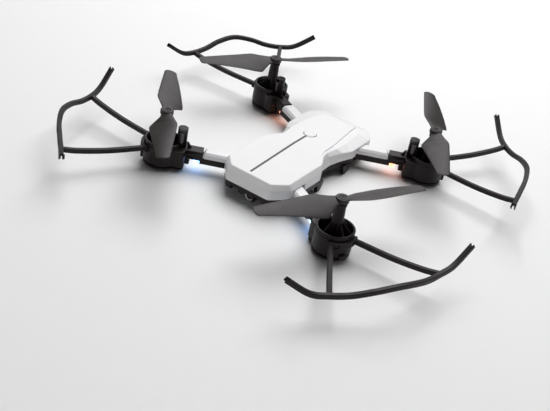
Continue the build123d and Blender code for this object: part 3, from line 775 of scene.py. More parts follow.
class Scatter:
    """Geometry Nodes tree that stands copies of a pattern on marked points."""

    def __init__(self) -> None:
        """Builds the tree with its named inputs."""
        tree = bpy.data.node_groups.new("scatter", "GeometryNodeTree")
        face = tree.interface
        face.new_socket("Points", in_out="INPUT", socket_type="NodeSocketGeometry")
        self.sockets = {
            "pattern": face.new_socket("Pattern", in_out="INPUT", socket_type="NodeSocketObject").identifier,
            "size": face.new_socket("Size", in_out="INPUT", socket_type="NodeSocketFloat").identifier,
            "finish": face.new_socket("Finish", in_out="INPUT", socket_type="NodeSocketMaterial").identifier,
        }
        face.new_socket("Pieces", in_out="OUTPUT", socket_type="NodeSocketGeometry")
        given = tree.nodes.new("NodeGroupInput")
        result = tree.nodes.new("NodeGroupOutput")
        pattern = tree.nodes.new("GeometryNodeObjectInfo")
        turn = tree.nodes.new("GeometryNodeInputNamedAttribute")
        turn.data_type = "FLOAT_VECTOR"
        turn.inputs["Name"].default_value = "turn"
        rotate = tree.nodes.new("FunctionNodeEulerToRotation")
        stand = tree.nodes.new("GeometryNodeInstanceOnPoints")
        real = tree.nodes.new("GeometryNodeRealizeInstances")
        paint = tree.nodes.new("GeometryNodeSetMaterial")
        for source, target in (
            (given.outputs["Points"], stand.inputs["Points"]),
            (given.outputs["Pattern"], pattern.inputs["Object"]),
            (pattern.outputs["Geometry"], stand.inputs["Instance"]),
            (turn.outputs[0], rotate.inputs[0]),
            (rotate.outputs[0], stand.inputs["Rotation"]),
            (given.outputs["Size"], stand.inputs["Scale"]),
            (stand.outputs[0], real.inputs[0]),
            (real.outputs[0], paint.inputs["Geometry"]),
            (given.outputs["Finish"], paint.inputs["Material"]),
            (paint.outputs[0], result.inputs[0]),
        ):
            tree.links.new(source, target)
        self.tree = tree

    def run(
        self, name: str, pattern: Iterable[Form], spots: Sequence[Matrix], finish: bpy.types.Material
    ) -> bpy.types.Object:
        """Makes one plain mesh of all the copies.

        Args:
            name: the new object's name.
            pattern: the closed forms of one copy, about the origin.
            spots: where the copies stand, in millimetres.
            finish: their material.

        Returns:
            The object.
        """
        points = bpy.data.meshes.new("points")
        points.from_pydata([spot.translation * MM for spot in spots], [], [])
        turns = points.attributes.new("turn", "FLOAT_VECTOR", "POINT")
        for item, spot in zip(turns.data, spots):
            item.vector = spot.to_euler()
        piece = linked(name, points)
        model = linked("pattern", make_mesh("pattern", pattern))
        copies = piece.modifiers.new("copies", "NODES")
        copies.node_group = self.tree
        copies[self.sockets["pattern"]] = model
        copies[self.sockets["size"]] = 1.0
        copies[self.sockets["finish"]] = finish
        settled(piece)
        bpy.data.objects.remove(model)
        return piece


def weighted(piece: bpy.types.Object) -> bpy.types.Object:
    """Keeps broad flat faces flat in the light, next to their eased edges."""
    normals = piece.modifiers.new("flat", "WEIGHTED_NORMAL")
    normals.keep_sharp = True
    normals.weight = 80
    return settled(piece)


# ---------------------------------------------------------------- where the arms stand


class Corner(Enum):
    """The craft's four corners."""

    FRONT_LEFT = "front_left"
    FRONT_RIGHT = "front_right"
    REAR_LEFT = "rear_left"
    REAR_RIGHT = "rear_right"

    @property
    def blade_heading(self) -> float:
        """The way one blade points at rest, in degrees from the craft's left side."""
        return {"front_left": 61.0, "front_right": 127.0, "rear_left": 121.5, "rear_right": 55.0}[self.value]

    @property
    def spin(self) -> int:
        """1 where the propeller turns anticlockwise seen from above, or -1."""
        return -1 if self in (Corner.FRONT_LEFT, Corner.REAR_RIGHT) else 1

    @property
    def lamp(self) -> Lamp:
        """The lamp under the arm: blue in front, red behind."""
        return LAMP_BLUE if self in (Corner.FRONT_LEFT, Corner.FRONT_RIGHT) else LAMP_RED


@dataclass(frozen=True)
class ArmFrame:
    """One arm's own axes: outwards from the propeller axis, sideways, and up.

    Attributes:
        corner: the arm's corner.
        hub: the foot of the propeller axis, in millimetres.
        pivot: the foot of the fold pivot.
        swing: the fold's full turn in degrees, with its sign.
    """

    corner: Corner
    hub: Vector
    pivot: Vector
    swing: float

    @classmethod
    def of(cls, corner: Corner) -> "ArmFrame":
        """Reads an arm's axes from the frame's joints."""
        spin = JOINTS[f"spin_{corner.value}"]
        fold = JOINTS[f"fold_{corner.value}"]
        hub = Vector((*spin["pos_m"][:2], 0.0)) / MM
        pivot = Vector((*fold["pos_m"][:2], 0.0)) / MM
        return cls(corner, hub, pivot, sum(fold["range_deg"]))

    @property
    def out(self) -> Vector:
        """Level direction from the pivot to the propeller axis."""
        return (self.hub - self.pivot).normalized()

    @property
    def length(self) -> float:
        """Distance between the pivot and the propeller axis."""
        return (self.hub - self.pivot).length

    @property
    def place(self) -> Matrix:
        """Placing of a form that is drawn outwards along x about the propeller axis."""
        return Matrix.Translation(self.hub) @ Matrix.Rotation(math.atan2(self.out.y, self.out.x), 4, "Z")

    def swing_room(self, half_width: float, low: float, high: float, spare: float = 2.0) -> Form:
        """Room that the arm sweeps at its root as it folds.

        Args:
            half_width: half the arm's width with its clearance.
            low: the room's lowest height.
            high: its highest.
            spare: turn left over past the fold's end, in degrees.

        Returns:
            The closed form.
        """
        reach = 20.0
        ring = 6.8
        sense = 1 if self.swing > 0 else -1
        rest = math.atan2(self.out.y, self.out.x)
        far = rest + math.radians(self.swing + sense * spare)
        flank = math.asin(half_width / ring)

        def point(turn: float, along: float, across: float) -> Pair:
            x = self.pivot.x + along * math.cos(turn) - across * math.sin(turn)
            y = self.pivot.y + along * math.sin(turn) + across * math.cos(turn)
            return (x, y)

        plan = [point(rest, reach, -sense * half_width)]
        for step in range(4):
            plan.append(point(rest + (far - rest) * step / 3, reach, 0.0))
        plan.append(point(far, reach, sense * half_width))
        start = far + sense * flank
        stop = rest - sense * flank + sense * 2 * math.pi
        for step in range(25):
            plan.append(point(start + (stop - start) * step / 24, ring, 0.0))
        return prism(plan, [(low, 0.0), (high, 0.0)])


# ---------------------------------------------------------------- body


def both_sides(half: Sequence[Triple]) -> list[Triple]:
    """Closed outline from its left half: the left side from nose to tail, then the right side back."""
    return [*half, *[(-x, y, radius) for x, y, radius in reversed(half)]]


@dataclass
class BodyPlan:
    """Heights and half outlines of the body, each corner with its rounding.

    Attributes:
        split: height of the joint between the shells.
        crease: height of the upright wall's top.
        crease_tail: the same at the tail.
        deck: height of the flat front deck.
        tail_deck: height of the deck at the tail.
        bend: where the deck starts to fall, from nose to tail.
        tail: where the deck ends.
        wall_half: the upright wall's foot.
        crease_half: the wall's top.
        deck_half: the deck's edge.
        belly_half: the lower shell.
    """

    split: float = 12.0
    crease: float = 18.6
    crease_tail: float = 18.4
    deck: float = 22.6
    tail_deck: float = 20.3
    bend: float = -4.0
    tail: float = 60.5
    wall_half: tuple[Triple, ...] = (
        (17.5, -64.6, 4.0), (27.2, -52.5, 5.0), (28.0, -15.0, 3.0), (22.4, -3.0, 3.5), (22.0, 7.5, 3.5),
        (24.2, 18.5, 3.0), (27.8, 29.5, 3.0), (28.0, 54.5, 3.5), (20.5, 65.5, 4.0),
    )
    crease_half: tuple[Triple, ...] = (
        (17.5, -64.6, 3.6), (27.2, -52.5, 4.6), (28.0, -15.0, 3.0), (20.8, 0.0, 3.5), (20.6, 7.0, 3.5),
        (24.5, 19.4, 3.0), (27.8, 27.3, 3.0), (28.0, 54.0, 3.5), (20.5, 65.5, 4.0),
    )
    deck_half: tuple[Triple, ...] = (
        (16.4, -61.6, 3.0), (24.8, -52.6, 4.0), (25.5, -11.5, 3.0), (20.4, -1.4, 2.5), (18.4, 7.0, 3.5),
        (19.9, 18.0, 3.0), (20.4, 30.0, 4.0), (18.0, 52.5, 3.5), (15.6, 59.8, 2.5),
    )
    belly_half: tuple[Triple, ...] = (
        (17.2, -64.2, 3.0), (26.6, -52.2, 4.0), (27.2, -15.4, 3.0), (21.2, -2.6, 3.5), (20.8, 7.0, 3.5),
        (24.0, 18.0, 3.0), (27.2, 28.5, 3.0), (27.2, 54.0, 4.0), (19.9, 64.6, 4.0),
    )

    def deck_height(self, y: float) -> float:
        """Height of the deck, eased where it starts to fall."""
        fall = (self.deck - self.tail_deck) / (self.tail - self.bend)
        past = y - self.bend
        return self.deck - fall * max(0.0, past) * min(1.0, max(0.0, past) / 8.0)

    def crease_height(self, y: float) -> float:
        """Height of the wall's top."""
        share = min(1.0, max(0.0, (y - self.bend) / (self.tail - self.bend)))
        return self.crease + (self.crease_tail - self.crease) * share


PLAN = BodyPlan()


@dataclass
class TopShell:
    """White upper shell: an upright wall, a bevel, and a deck that becomes a raised spine.

    Attributes:
        wall: the shell's thickness.
        step: how far the spine stands above its side ledges.
        spine: half width of the spine by distance from nose to tail.
        button: middle of the power button.
        button_radius: radius of its opening.
        notch: half width and depth of the finger notch in the tail.
    """

    wall: float = 1.5
    step: float = 0.75
    spine: tuple[Pair, ...] = (
        (-1.4, 20.0), (4.0, 17.4), (23.0, 15.8), (42.0, 13.0), (53.0, 12.0), (66.0, 11.4),
    )
    button: Pair = (-4.2, 19.3)
    button_radius: float = 5.1
    notch: Pair = (3.9, 1.6)

    def spine_half(self, y: float) -> float:
        """Half width of the spine at a distance from nose to tail."""
        if y <= self.spine[0][0]:
            return self.spine[0][1]
        for (y0, x0), (y1, x1) in zip(self.spine, self.spine[1:]):
            if y <= y1:
                return x0 + (x1 - x0) * (y - y0) / (y1 - y0)
        return self.spine[-1][1]

    def step_at(self, y: float) -> float:
        """How far the ledge lies below the spine."""
        return self.step * min(1.0, max(0.0, (y + 1.4) / 5.0))

    def skin(self, form: Form, by: float) -> list[int]:
        """Draws the outer or the inner face of the shell.

        Args:
            form: the form to draw into.
            by: distance in from the outer face.

        Returns:
            The ring at the lower edge.
        """
        steps = 5
        foot = inset(rounded(both_sides(PLAN.wall_half), steps), by)
        brow = inset(rounded(both_sides(PLAN.crease_half), steps), by)
        edge = inset(rounded(both_sides(PLAN.deck_half), steps), by * 0.6)
        inner = inset(rounded(both_sides(PLAN.deck_half), steps), by * 0.6 + 1.3)
        lines = []
        for low, middle, high, last in zip(foot, brow, edge, inner):
            top = PLAN.deck_height(high[1]) - by
            ledge = 0.0 if by else self.step_at(high[1])
            corners = [
                Vector((*low, PLAN.split)),
                Vector((*middle, PLAN.crease_height(middle[1]) - by * 0.4)),
                Vector((*high, top - ledge)),
                Vector((*last, PLAN.deck_height(last[1]) - by - ledge)),
            ]
            lines.append(rounded_profile(corners, (0.7, 0.8)))
        rings = [form.ring([line[level] for line in lines]) for level in range(len(lines[0]))]
        for low, high in zip(rings[:-1], rings[1:-1]):
            form.bridge(low, high)
        rows = self.deck_rows(form, rings[-1], by)
        last, rim = rings[-2], rings[-1]
        half = len(rim) // 2
        for index in range(len(rim)):
            after = (index + 1) % len(rim)
            if index == half - 1:
                form.faces.append((last[index], last[after], *reversed(rows[-1])))
            elif after == 0:
                form.faces.append((last[index], last[after], *rows[0]))
            else:
                form.faces.append((last[index], last[after], rim[after], rim[index]))
        return rings[0]

    def deck_rows(self, form: Form, rim: list[int], by: float) -> list[list[int]]:
        """Fills the deck with rows from its left to its right edge.

        Args:
            form: the form to draw into.
            rim: the closed ring at the deck's edge.
            by: distance in from the outer face.

        Returns:
            The rows, from nose to tail, each from left to right.
        """
        rows = []
        half = len(rim) // 2
        for index in range(half):
            left = form.points[rim[index]]
            y = left.y
            top = PLAN.deck_height(y) - by
            spine = min(self.spine_half(y), left.x - 0.7)
            low = top - (0.0 if by else self.step_at(y))
            marks = [(spine + 0.35, low), (spine, top), (spine * 0.6, top), (spine * 0.2, top)]
            across = marks + [(-x, z) for x, z in reversed(marks)]
            inside = form.ring([(x, y, z) for x, z in across])
            rows.append([rim[index], *inside, rim[len(rim) - 1 - index]])
        for near, far in zip(rows, rows[1:]):
            for column in range(len(near) - 1):
                form.faces.append((near[column], far[column], far[column + 1], near[column + 1]))
        return rows

    def build(self, arms: Sequence[ArmFrame]) -> bpy.types.Object:
        """Makes the shell, with its openings cut.

        Args:
            arms: the four arms, which need room to fold.

        Returns:
            The object.
        """
        form = Form()
        outer = self.skin(form, 0.0)
        inner = self.skin(form, self.wall)
        form.bridge(outer, inner)
        shell = linked("top_shell_skin", make_mesh("top_shell_skin", [form]))
        rooms = [arm.swing_room(5.2, PLAN.split - 1, 17.5, 1.0) for arm in arms]
        hole = turned([(self.button_radius, 17.0), (self.button_radius, 25.0)], 48, self.button)
        mouth_low, mouth_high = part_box("battery_pack")
        mouth = block(
            (mouth_low.x / MM - 0.4, 60.0, 10.0), (mouth_high.x / MM + 0.4, 70.0, mouth_high.z / MM + 0.4)
        )
        half, depth = self.notch
        notch = block((-half - 0.6, 58.5, 19.5), (half - 0.6, 70.0, 24.0))
        notch.moved(Matrix.Translation((0, depth, -depth * 0.1)))
        carve(shell, [*rooms, hole, mouth, notch])
        soften(shell, 0.22, 38.0, 2)
        weighted(dressed(shell, SHELL_PRINT.build(), 38.0))
        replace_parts(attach(shell, "root"), "top_shell")
        return shell


@dataclass
class PowerButton:
    """Round power button with a shallow dish.

    Attributes:
        radius: its radius.
        dish: depth of the dish in its top.
    """

    radius: float = 4.7
    dish: float = 0.3

    def build(self) -> bpy.types.Object:
        """Makes the button where the frame holds it."""
        low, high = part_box("power_button")
        middle = (low + high) / 2 / MM
        foot, top = low.z / MM, high.z / MM
        profile = [(self.radius, foot), (self.radius, top - 0.45), (self.radius - 0.12, top - 0.16)]
        profile += [(self.radius - 0.45, top), (self.radius - 0.95, top)]
        profile += [(self.radius - 1.5, top - 0.1), (self.radius * 0.4, top - self.dish)]
        profile.append((0.4, top - self.dish))
        button = linked("power_key", make_mesh("power_key", [turned(profile, 56, (middle.x, middle.y))]))
        weighted(dressed(button, BUTTON_ABS.build(), 50.0))
        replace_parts(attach(button, "button"), "power_button")
        return button


@dataclass
class Belly:
    """Black lower shell with the nose strip, the camera's bulge, vents and landing feet.

    Attributes:
        floor: height of its underside.
        wall: its thickness.
        feet: middle of each foot on the left side, and half its length.
        bulge_half: half width of the camera's bulge.
        nose: where the nose stays solid, from nose to tail.
    """

    floor: float = 5.6
    wall: float = 1.5
    feet: tuple[Triple, ...] = ((25.2, -10.5, 3.0), (25.6, 26.0, 4.2))
    bulge_half: float = 6.1
    nose: float = -54.0

    def foot(self, x: float, y: float, half: float) -> Form:
        """One landing foot: a fin that narrows to its tip."""
        rings = []
        for height, share, thick in ((8.2, 1.35, 1.6), (6.6, 1.25, 1.6), (1.2, 0.72, 1.3), (0.0, 0.55, 0.9)):
            reach = half * share
            signs = ((-1, -1), (1, -1), (1, 1), (-1, 1))
            rings.append([(x + a * thick, y + b * reach, height) for a, b in signs])
        return Form().stack(list(reversed(rings)))

    def bulge(self, low: Vector, high: Vector) -> Form:
        """Housing that carries the camera under the nose."""
        half = self.bulge_half
        section = rounded(
            both_sides([(half, 7.4, 0.3), (half - 0.5, 4.0, 2.5), (3.2, 0.1, 2.6)]), 6,
        )
        front, back = low.y / MM + 0.6, high.y / MM + 4.0
        rings = []
        stations = ((front, 0.35, 0.0), (front + 0.35, 0.0, 0.0), (front + 8.0, 0.0, 0.0), (back, 0.6, 4.5))
        for y, drawn, lift in stations:
            rings.append([(x, y, max(z, 0.1) + lift * (7.4 - z) / 7.4) for x, z in inset(section, drawn)])
        return Form().stack(rings)

    def build(self, arms: Sequence[ArmFrame], scatter: Scatter) -> bpy.types.Object:
        """Makes the lower shell.

        Args:
            arms: the four arms, which need room to fold.
            scatter: makes the vents.

        Returns:
            The object.
        """
        plan = rounded(both_sides(PLAN.belly_half), 4)
        top = PLAN.split - 0.12
        rise = [(self.floor, 1.8), (self.floor + 0.45, 0.8), (self.floor + 1.5, 0.0), (top, 0.0)]
        shell = linked("belly_skin", make_mesh("belly_skin", [prism(plan, rise)]))
        room = [(x, max(y, self.nose)) for x, y in inset(plan, self.wall)]
        cavity = prism(room, [(self.floor + self.wall, 0.0), (PLAN.split + 2, 0.0)])
        low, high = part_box("camera_housing")
        battery_low, battery_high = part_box("battery_pack")
        gaps = [
            block((side * 9.6 - 3.2, -67.0, 4.0), (side * 9.6 + 3.2, -59.6, 9.0), 0.3) for side in (-1, 1)
        ]
        carve(shell, [cavity, *gaps])
        carve(shell, [self.bulge(low, high)], join=True)
        feet = [self.foot(side * x, y, half) for x, y, half in self.feet for side in (-1, 1)]
        carve(shell, feet, join=True)
        lens_axis = aimed((0.0, 0.0, (low.z + high.z) / 2 / MM), (0, -1, 0))
        carve(shell, [rod(3.92, 50.0, 70.0, lens_axis, 40)])
        carve(shell, [arm.swing_room(5.2, 7.4, PLAN.split + 1) for arm in arms])
        bosses = []
        for arm in arms:
            steps = [(5.0, self.floor + 0.3), (5.0, 8.1), (3.0, 8.1), (3.0, 16.6)]
            bosses.append(turned(steps, 40, arm.pivot[:2]))
        carve(shell, bosses, join=True)
        wells = [
            turned([(1.8, 5.0), (1.8, 7.8), (0.95, 7.8), (0.95, 18.0)], 28, arm.pivot[:2]) for arm in arms
        ]
        mouth = block(
            (battery_low.x / MM - 0.3, 60.0, battery_low.z / MM - 0.3),
            (battery_high.x / MM + 0.3, 70.0, 14.0),
        )
        carve(shell, [*wells, mouth])
        slots = [Matrix.Translation((x, y, self.floor)) for x in (-13.5, 13.5) for y in range(-34, -17, 4)]
        slots += [Matrix.Translation((0, y, self.floor)) for y in range(-44, -27, 4)]
        vent = block((-4.2, -0.7, -1.0), (4.2, 0.7, 1.0), 0.3)
        combined(shell, scatter.run("vents", [vent], slots, BLACK_ABS.build()), join=False)
        soften(shell, 0.2, 40.0, 2)
        weighted(dressed(shell, BLACK_ABS.build(), 38.0))
        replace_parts(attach(shell, "root"), "bottom_shell")
        return shell


@dataclass
class CameraEye:
    """Camera under the nose: stepped housing, grey bezel ring and a domed lens.

    Attributes:
        radius: the housing's radius.
        ring: inner and outer radius of the bezel.
        lens: the lens's radius.
    """

    radius: float = 3.85
    ring: Pair = (2.5, 3.4)
    lens: float = 2.38

    def build(self) -> list[bpy.types.Object]:
        """Makes the camera's pieces."""
        low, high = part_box("camera_housing")
        lens_low, lens_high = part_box("camera_lens")
        axis = aimed((0.0, 0.0, (lens_low.z + lens_high.z) / 2 / MM), (0, -1, 0))
        front, back = -low.y / MM, -high.y / MM
        barrel = [(self.radius, back), (self.radius, front - 0.35), (self.radius - 0.35, front)]
        barrel += [(self.ring[1] + 0.1, front), (self.ring[1] + 0.05, front - 0.35)]
        barrel.append((self.ring[0], front - 0.35))
        barrel += [(self.lens + 0.05, front - 0.6), (self.lens + 0.05, front - 2.0)]
        housing = linked("camera_barrel", make_mesh("camera_barrel", [turned(barrel, 56).moved(axis)]))
        weighted(dressed(housing, CAMERA_ABS.build(), 40.0))
        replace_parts(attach(housing, "root"), "camera_housing")
        inner, outer = self.ring
        band = [(inner, front - 0.4), (outer, front - 0.4), (outer, front + 0.1), (outer - 0.2, front + 0.3)]
        band += [(inner + 0.25, front + 0.2), (inner, front - 0.1)]
        bezel = linked("camera_bezel", make_mesh("camera_bezel", [turned(band, 56, closed=True).moved(axis)]))
        dressed(bezel, BEZEL_GREY.build(), 40.0)
        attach(bezel, "root")
        dome = [(self.lens, front - 1.95)]
        for step in range(1, 9):
            turn = math.pi / 2 * step / 9
            dome.append((self.lens * math.cos(turn), front - 1.4 + 0.75 * math.sin(turn)))
        lens = linked("camera_glass", make_mesh("camera_glass", [turned(dome, 48).moved(axis)]))
        dressed(lens, LENS_GLASS.build(), 70.0)
        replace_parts(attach(lens, "root"), "camera_lens")
        return [housing, bezel, lens]


@dataclass
class Innards:
    """Battery, circuit board and long screws inside the body.

    Attributes:
        chip: half sizes and height of one small chip.
    """

    chip: Triple = (1.3, 0.8, 0.6)

    def battery(self) -> bpy.types.Object:
        """Makes the battery's case with its grip ridges."""
        low, high = (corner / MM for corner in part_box("battery_pack"))
        middle = (low + high) / 2
        section = rounded(
            [(high.x, low.z, 1.6), (high.x, high.z, 1.6), (low.x, high.z, 1.6), (low.x, low.z, 1.6)], 6
        )
        rings = []
        stations = ((low.y, 0.8), (low.y + 0.8, 0.0), (high.y - 0.8, 0.0), (high.y - 0.2, 0.25), (high.y, 0.8))
        for y, drawn in stations:
            rings.append([(x, y, z) for x, z in inset(section, drawn)])
        case = linked("battery_case", make_mesh("battery_case", [Form().stack(rings)]))
        grooves = [
            block((-6.0, high.y - 0.5, height - 0.35), (6.0, high.y + 1.0, height + 0.35))
            for height in (middle.z - 2.0, middle.z, middle.z + 2.0)
        ]
        carve(case, grooves)
        weighted(dressed(case, BATTERY_CASE.build(), 40.0))
        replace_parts(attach(case, "battery"), "battery_pack")
        return case

    def chips(self, scatter: Scatter) -> bpy.types.Object:
        """Makes the board's small chips."""
        low, high = (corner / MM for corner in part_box("circuit_board"))
        top = low.z + 2.0
        spots = []
        for row in range(9):
            for column, x in enumerate((-8.5, -3.5, 6.5)):
                if (row + column) % 3:
                    spots.append(Matrix.Translation((x, low.y + 6.0 + 6.2 * row, top + 1.2)))
        half_x, half_y, height = self.chip
        chip = block((-half_x, -half_y, 0.0), (half_x, half_y, height), 0.12)
        chips = scatter.run("board_chips", [chip], spots, CHIP_RESIN.build())
        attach(chips, "root")
        return chips


# ---------------------------------------------------------------- arms


@dataclass
class Pod:
    """Black arm with its motor pod: a ribbed cup, a bearing tower and a split motor sleeve.

    Attributes:
        radius: the cup's radius.
        base: height of the pod's lower edge.
        rim: height of the cup's rim.
        floor: height of the cup's floor.
        wall: the cup's thickness.
        tower_top: height of the bearing tower.
        motor: distance of the motor's axis, outwards from the propeller axis.
        sleeve: radius of the motor sleeve.
        sleeve_top: its height.
        length: distance between the propeller axis and the fold pivot.
        ribs: the number of ribs, and the turn between two, in degrees.
    """

    radius: float = 13.0
    base: float = 3.2
    rim: float = 20.0
    floor: float = 11.0
    wall: float = 1.4
    tower_top: float = 38.4
    motor: float = -12.65
    sleeve: float = 5.0
    sleeve_top: float = 29.2
    length: float = 57.4
    ribs: Pair = (7, 40.0)

    def shoulder(self) -> Form:
        """Squared inboard half of the pod."""
        plan = rounded([(-16.8, -9.5, 4.2), (0.8, -9.5, 1.0), (0.8, 9.5, 1.0), (-16.8, 9.5, 4.2)], 7)
        rise = [(self.base, 1.5), (self.base + 0.6, 0.7), (self.base + 1.8, 0.0), (15.9, 0.0), (16.5, 0.25)]
        return prism(plan, [*rise, (16.7, 0.7)])

    def drum(self) -> Form:
        """Round outer half of the pod, with a shadow groove under its rim."""
        r = self.radius
        profile = [(r - 1.5, self.base), (r - 0.7, self.base + 0.6), (r, self.base + 1.8), (r, 17.3)]
        profile += [(r - 0.28, 17.45), (r - 0.28, 17.8), (r, 17.95), (r, self.rim - 0.3), (r - 0.3, self.rim)]
        return turned(profile, 72)

    def tower(self) -> Form:
        """Tapered bearing tower over the propeller's shaft."""
        shaft = [(4.75, self.floor - 0.4), (4.55, 15.0), (4.2, 20.0), (3.75, 31.0), (3.5, 36.2)]
        collar = [(3.95, 36.5), (3.95, self.tower_top - 0.25), (3.6, self.tower_top)]
        return turned([*shaft, *collar], 40)

    def rib(self) -> Form:
        """One rib from the tower to the cup's wall."""
        low = self.floor - 0.3
        outline = [(3.2, low), (12.4, low), (12.4, 18.0), (11.0, 18.6), (4.6, 24.4), (3.2, 25.0)]
        return Form().stack([[(x, v, z) for x, z in outline] for v in (-0.65, 0.65)])

    def sleeve_slot(self) -> Form:
        """Slot across the motor sleeve, wider and rounded towards its top."""
        right = [(1.3, 20.6, 1.2), (1.5, 27.0, 1.0), (2.6, 30.5, 0.4)]
        outline = rounded(both_sides(right), 5)
        return Form().stack([[(self.motor + u, v, z) for u, z in outline] for v in (-8.0, 8.0)])

    def neck(self) -> list[Form]:
        """Neck, arm and pivot ring, inboard of the pod."""
        neck_section = rounded([(-4.4, 9.7, 1.0), (4.4, 9.7, 1.0), (4.4, 16.7, 1.3), (-4.4, 16.7, 1.3)], 4)
        neck = Form().stack([[(x, v, z) for v, z in neck_section] for x in (-12.0, -28.3)])
        arm_section = rounded([(-4.6, 7.7, 0.9), (4.6, 7.7, 0.9), (4.6, 12.6, 0.3), (-4.6, 12.6, 0.3)], 4)
        arm = Form().stack([[(x, v, z) for v, z in arm_section] for x in (-27.0, -self.length)])
        ring = turned([(5.9, 8.2), (6.2, 8.5), (6.2, 12.6)], 56, (-self.length, 0.0))
        return [neck, arm, ring]

    def build(self, scatter: Scatter) -> bpy.types.Mesh:
        """Makes the arm's mesh about the propeller axis.

        Args:
            scatter: makes the ribs.

        Returns:
            The mesh.
        """
        motor_axis = (self.motor, 0.0)
        pod = linked("pod", make_mesh("pod", [self.shoulder()]))
        carve(pod, [self.drum()], join=True)
        cup = self.radius - self.wall
        carve(pod, [turned([(cup - 0.8, self.floor), (cup, self.floor + 0.8), (cup, self.rim + 1)], 72)])
        sleeve = [(self.sleeve + 0.6, 9.5), (self.sleeve + 0.6, 16.9), (self.sleeve + 0.15, 17.8)]
        sleeve += [(self.sleeve + 0.15, self.sleeve_top - 1.0), (self.sleeve - 0.15, self.sleeve_top - 0.3)]
        sleeve += [(self.sleeve - 0.6, self.sleeve_top)]
        carve(pod, [turned(sleeve, 48, motor_axis), self.tower()], join=True)
        count, apart = int(self.ribs[0]), self.ribs[1]
        turns = [math.radians(apart * (index - (count - 1) / 2)) for index in range(count)]
        spots = [Matrix.Rotation(turn, 4, "Z") for turn in turns]
        ribs = scatter.run("ribs", [self.rib()], spots, BLACK_ABS.build())
        combined(pod, ribs, join=True)
        lips = [
            block((-17.7, -7.4, 12.6), (-16.0, 7.4, 13.5), 0.2),
            block((-17.4, -6.8, 7.4), (-16.0, 6.8, 8.2), 0.2),
        ]
        nubs = [
            block((self.radius - 2.0, -2.4, self.base), (14.6, 2.4, self.base + 4.0), 0.5),
            block((-19.6, -2.4, 4.2), (-16.0, 2.4, 10.7), 0.4),
        ]
        gusset = Form().stack([
            [(-17.0, v, 16.0), (-20.6, v, 16.0), (-17.4, v, 20.8), (-17.0, v, 20.8)] for v in (-0.6, 0.6)
        ])
        carve(pod, [*self.neck(), *lips, *nubs, gusset], join=True)
        end = (-self.length, 0.0)
        cuts = [
            turned([(6.4, 6.0), (6.4, 8.2)], 48, end),
            turned([(3.05, 6.0), (3.05, 18.0)], 40, end),
            turned([(11.65, 2.0), (11.65, 9.4)], 64),
            turned([(3.0, 2.0), (3.0, 9.4)], 32, motor_axis),
            turned([(3.52, 8.9), (3.52, 31.0)], 40, motor_axis),
            turned([(2.22, 9.0), (2.22, 12.4), (1.4, 12.4), (1.4, 35.4), (2.22, 35.4), (2.22, 40.0)], 32),
            self.sleeve_slot(),
        ]
        for turn in (-24.0, 24.0):
            radial = Matrix.Rotation(math.radians(turn), 4, "Z") @ aimed((0, 0, 14.7), (1, 0, 0))
            cuts.append(rod(0.9, 10.0, 14.0, radial, 20))
        for v in (-6.6, 6.6):
            cuts.append(turned([(0.9, 2.0), (0.9, 8.0)], 20, (-13.3, v)))
        carve(pod, cuts)
        soften(pod, 0.16, 42.0, 2)
        mesh = pod.data
        bpy.data.objects.remove(pod)
        return mesh


@dataclass
class ArmCover:
    """White cap on the arm: chamfered along its top edges, sloped and rounded at its outboard end.

    Attributes:
        end: outboard end, from the propeller axis.
        root: inboard end.
        seam: height of its lower edge.
        top: height of its top.
        half: half its width.
        boss: radius of its round root over the fold pivot.
        length: distance between the propeller axis and the fold pivot.
    """

    length: float
    end: float = -28.5
    root: float = -56.5
    seam: float = 12.65
    top: float = 17.1
    half: float = 4.9
    boss: float = 6.5

    def build(self) -> bpy.types.Mesh:
        """Makes the cap's mesh about the propeller axis."""
        stations = (
            (self.end, 3.3, 13.2), (self.end - 0.35, 4.0, 14.2), (self.end - 0.9, 4.5, 15.5),
            (self.end - 1.7, 4.8, 16.7), (self.end - 2.6, self.half, self.top),
            (self.root + 0.35, self.half, self.top),
            (self.root, self.half - 0.35, self.top - 0.35),
        )
        rings = []
        for u, half, top in stations:
            shoulder = min(1.5, (top - self.seam) * 0.45)
            section = rounded(
                [(-half, self.seam, 0.2), (half, self.seam, 0.2), (half, top - shoulder, 0.6),
                 (half - shoulder, top, 0.6), (shoulder - half, top, 0.6), (-half, top - shoulder, 0.6)], 4,
            )
            rings.append([(u, v, z) for v, z in section])
        cap = linked("cap", make_mesh("cap", [Form().stack(rings)]))
        boss = turned(
            [(self.boss, self.seam), (self.boss, self.top - 0.35), (self.boss - 0.35, self.top)], 56,
            (-self.length, 0.0),
        )
        carve(cap, [boss], join=True)
        carve(cap, [turned([(3.05, self.seam - 1), (3.05, self.top + 1)], 40, (-self.length, 0.0))])
        mesh = cap.data
        bpy.data.objects.remove(cap)
        return mesh


